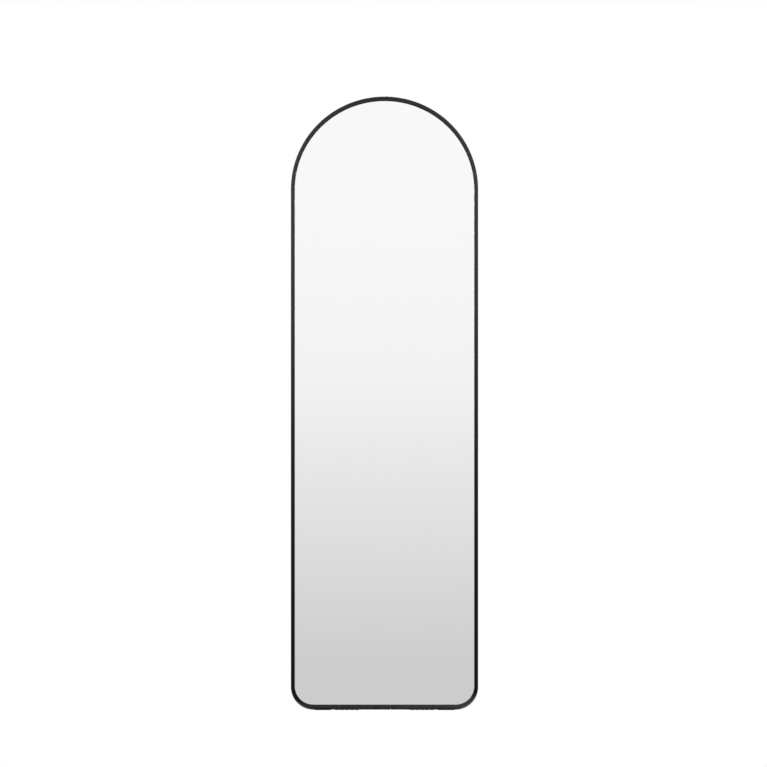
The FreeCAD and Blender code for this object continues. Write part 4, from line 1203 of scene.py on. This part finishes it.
def wall_finish(stage):
    """The studio wall: a tone that rises with the height, two soft boxes, and white in the camera's own view.

    The boxes stand left and right of what the mirror shows, so that only the frame's satin picks them up.
    Rays that come off a matt surface by way of the mirror don't meet them, because that gives bright specks.
    The ramp's stops are shares of the wall's height and the tones there.
    """
    material, nodes = new_finish("studio wall")
    place = nodes.object_place()
    height = nodes.axis(place, "Z")
    rising = nodes.add("ShaderNodeValToRGB", {"stops": (
        (0.0, stage.wall_dark), (0.24, 0.645), (0.437, 0.942), (0.53, 0.985), (0.66, 1.0),
    )}, {0: height / stage.wall_height})
    seen = nodes.ray("Camera")
    glow = nodes.spread(height, stage.glow_low, stage.glow_high)
    aside = abs(nodes.axis(place, "X"))
    boxes = (nodes.spread(aside, stage.box_near, stage.box_near + stage.box_edge)
             * (1 - nodes.spread(aside, stage.box_far, stage.box_far + stage.box_fade))
             * nodes.spread(height, stage.box_low, stage.box_full)
             * (1 - nodes.spread(height, stage.box_top, stage.box_top + stage.box_fade))
             * nodes.spread(0 - nodes.axis(place, "Y"), 0, stage.wall_radius / 2))
    scattered = nodes.spread(nodes.add("ShaderNodeLightPath", output="Diffuse Depth"), 0, 1)
    direct = (1 - seen) * (1 - scattered)
    brightness = 1 + ((stage.wall_glow - 1) * glow + stage.box_power * boxes) * direct
    shining = nodes.add("ShaderNodeVectorMath", {"operation": "SCALE"},
                        {0: nodes.blend(seen, rising, grey(1.0)), "Scale": brightness})
    light = nodes.add("ShaderNodeEmission", None, {"Color": shining, "Strength": 1.0})
    nodes.add("ShaderNodeOutputMaterial", None, {"Surface": light})
    return material


def white_world(stage):
    """White for the camera, mirrors and glass, and an even fill for everything else."""
    world = bpy.data.worlds.new("studio")
    bpy.context.scene.world = world
    world.use_nodes = True
    nodes = Nodes(world.node_tree)
    seen = nodes.ray("Camera").larger(nodes.ray("Glossy")).larger(nodes.ray("Transmission"))
    light = nodes.add("ShaderNodeBackground", None, {
        "Color": nodes.blend(seen, grey(stage.fill), grey(1.0)), "Strength": 1.0,
    })
    nodes.add("ShaderNodeOutputWorld", None, {"Surface": light})


def soft_lamp(stage, name, place, aim, power):
    """A rectangular lamp that shines from its place towards a point."""
    lamp = bpy.data.lights.new(name, "AREA")
    lamp.shape = "RECTANGLE"
    lamp.size = stage.lamp_width
    lamp.size_y = stage.lamp_depth
    lamp.energy = power
    made = bpy.data.objects.new(name, lamp)
    bpy.context.collection.objects.link(made)
    made.location = place
    made.rotation_euler = (Vector(aim) - made.location).to_track_quat("-Z", "Y").to_euler()


def set_camera(context, stage):
    """A level camera with no perspective, straight in front of the mirror."""
    view = bpy.data.cameras.new("camera")
    view.type = "ORTHO"
    view.ortho_scale = stage.view_width
    camera = bpy.data.objects.new("camera", view)
    context.collection.objects.link(camera)
    camera.location = (stage.view_x, -stage.view_distance, stage.view_z)
    camera.rotation_euler = (math.pi / 2, 0, 0)
    context.scene.camera = camera


class ARCHEDMIRROR_OT_stage(MirrorOperator, Operator):
    """Lay the floor, stand up the studio wall, hang the soft lamps and set the camera"""
    bl_idname = "arched_mirror.stage"
    bl_label = "Stage"

    def execute(self, context):
        stage = context.scene.mirror_stage
        slab = turned(column(-stage.floor_thickness, 0), stage.floor_radius, ALONG_Z)
        floor = add_mesh("studio_floor", shape_of(slab), [floor_finish(stage)])
        drum = turned(column(0, stage.wall_height), stage.wall_radius, ALONG_Z)
        wall = add_mesh("studio_wall", shape_of(drum, "open"), [wall_finish(stage)])
        wall.visible_diffuse = False
        wall.visible_shadow = False
        white_world(stage)
        height = context.scene.mirror_sizes.height
        soft_lamp(stage, "front_lamp", (0, stage.lamp_y, stage.lamp_z), (0, 0, height * stage.lamp_aim),
                  stage.lamp_power)
        soft_lamp(stage, "back_lamp", (stage.back_x, stage.back_y, stage.back_z),
                  (0, 0, height * stage.back_aim), stage.back_power)
        set_camera(context, stage)
        context.scene.view_settings.view_transform = "Standard"
        return {"FINISHED"}


# Add-on

STEPS = (
    ARCHEDMIRROR_OT_frame,
    ARCHEDMIRROR_OT_glass,
    ARCHEDMIRROR_OT_backing,
    ARCHEDMIRROR_OT_keys,
    ARCHEDMIRROR_OT_hangers,
    ARCHEDMIRROR_OT_pivots,
    ARCHEDMIRROR_OT_stand,
    ARCHEDMIRROR_OT_pads,
    ARCHEDMIRROR_OT_stage,
)
GROUPS = {
    "mirror_sizes": FrameSizes,
    "mirror_fittings": FittingSizes,
    "mirror_finishes": FinishSettings,
    "mirror_stage": StageSettings,
}


class ARCHEDMIRROR_PT_sidebar(Panel):
    """The settings and the steps of the mirror"""
    bl_idname = "ARCHEDMIRROR_PT_sidebar"
    bl_label = "Arched Mirror"
    bl_space_type = "VIEW_3D"
    bl_region_type = "UI"
    bl_category = "Mirror"

    def draw(self, context):
        steps = self.layout.column(align=True)
        for step in STEPS:
            steps.operator(step.bl_idname)
        for group in GROUPS:
            settings = getattr(context.scene, group)
            box = self.layout.box()
            for name in settings.__annotations__:
                box.prop(settings, name)


CLASSES = (*GROUPS.values(), *STEPS, ARCHEDMIRROR_PT_sidebar)


def register():
    for made in CLASSES:
        bpy.utils.register_class(made)
    for name, group in GROUPS.items():
        setattr(bpy.types.Scene, name, PointerProperty(type=group))


def unregister():
    for name in GROUPS:
        delattr(bpy.types.Scene, name)
    for made in reversed(CLASSES):
        bpy.utils.unregister_class(made)


def main():
    """Registers the classes and runs every step in order."""
    register()
    for step in STEPS:
        area, name = step.bl_idname.split(".")
        getattr(getattr(bpy.ops, area), name)()


if __name__ == "__main__":
    main()
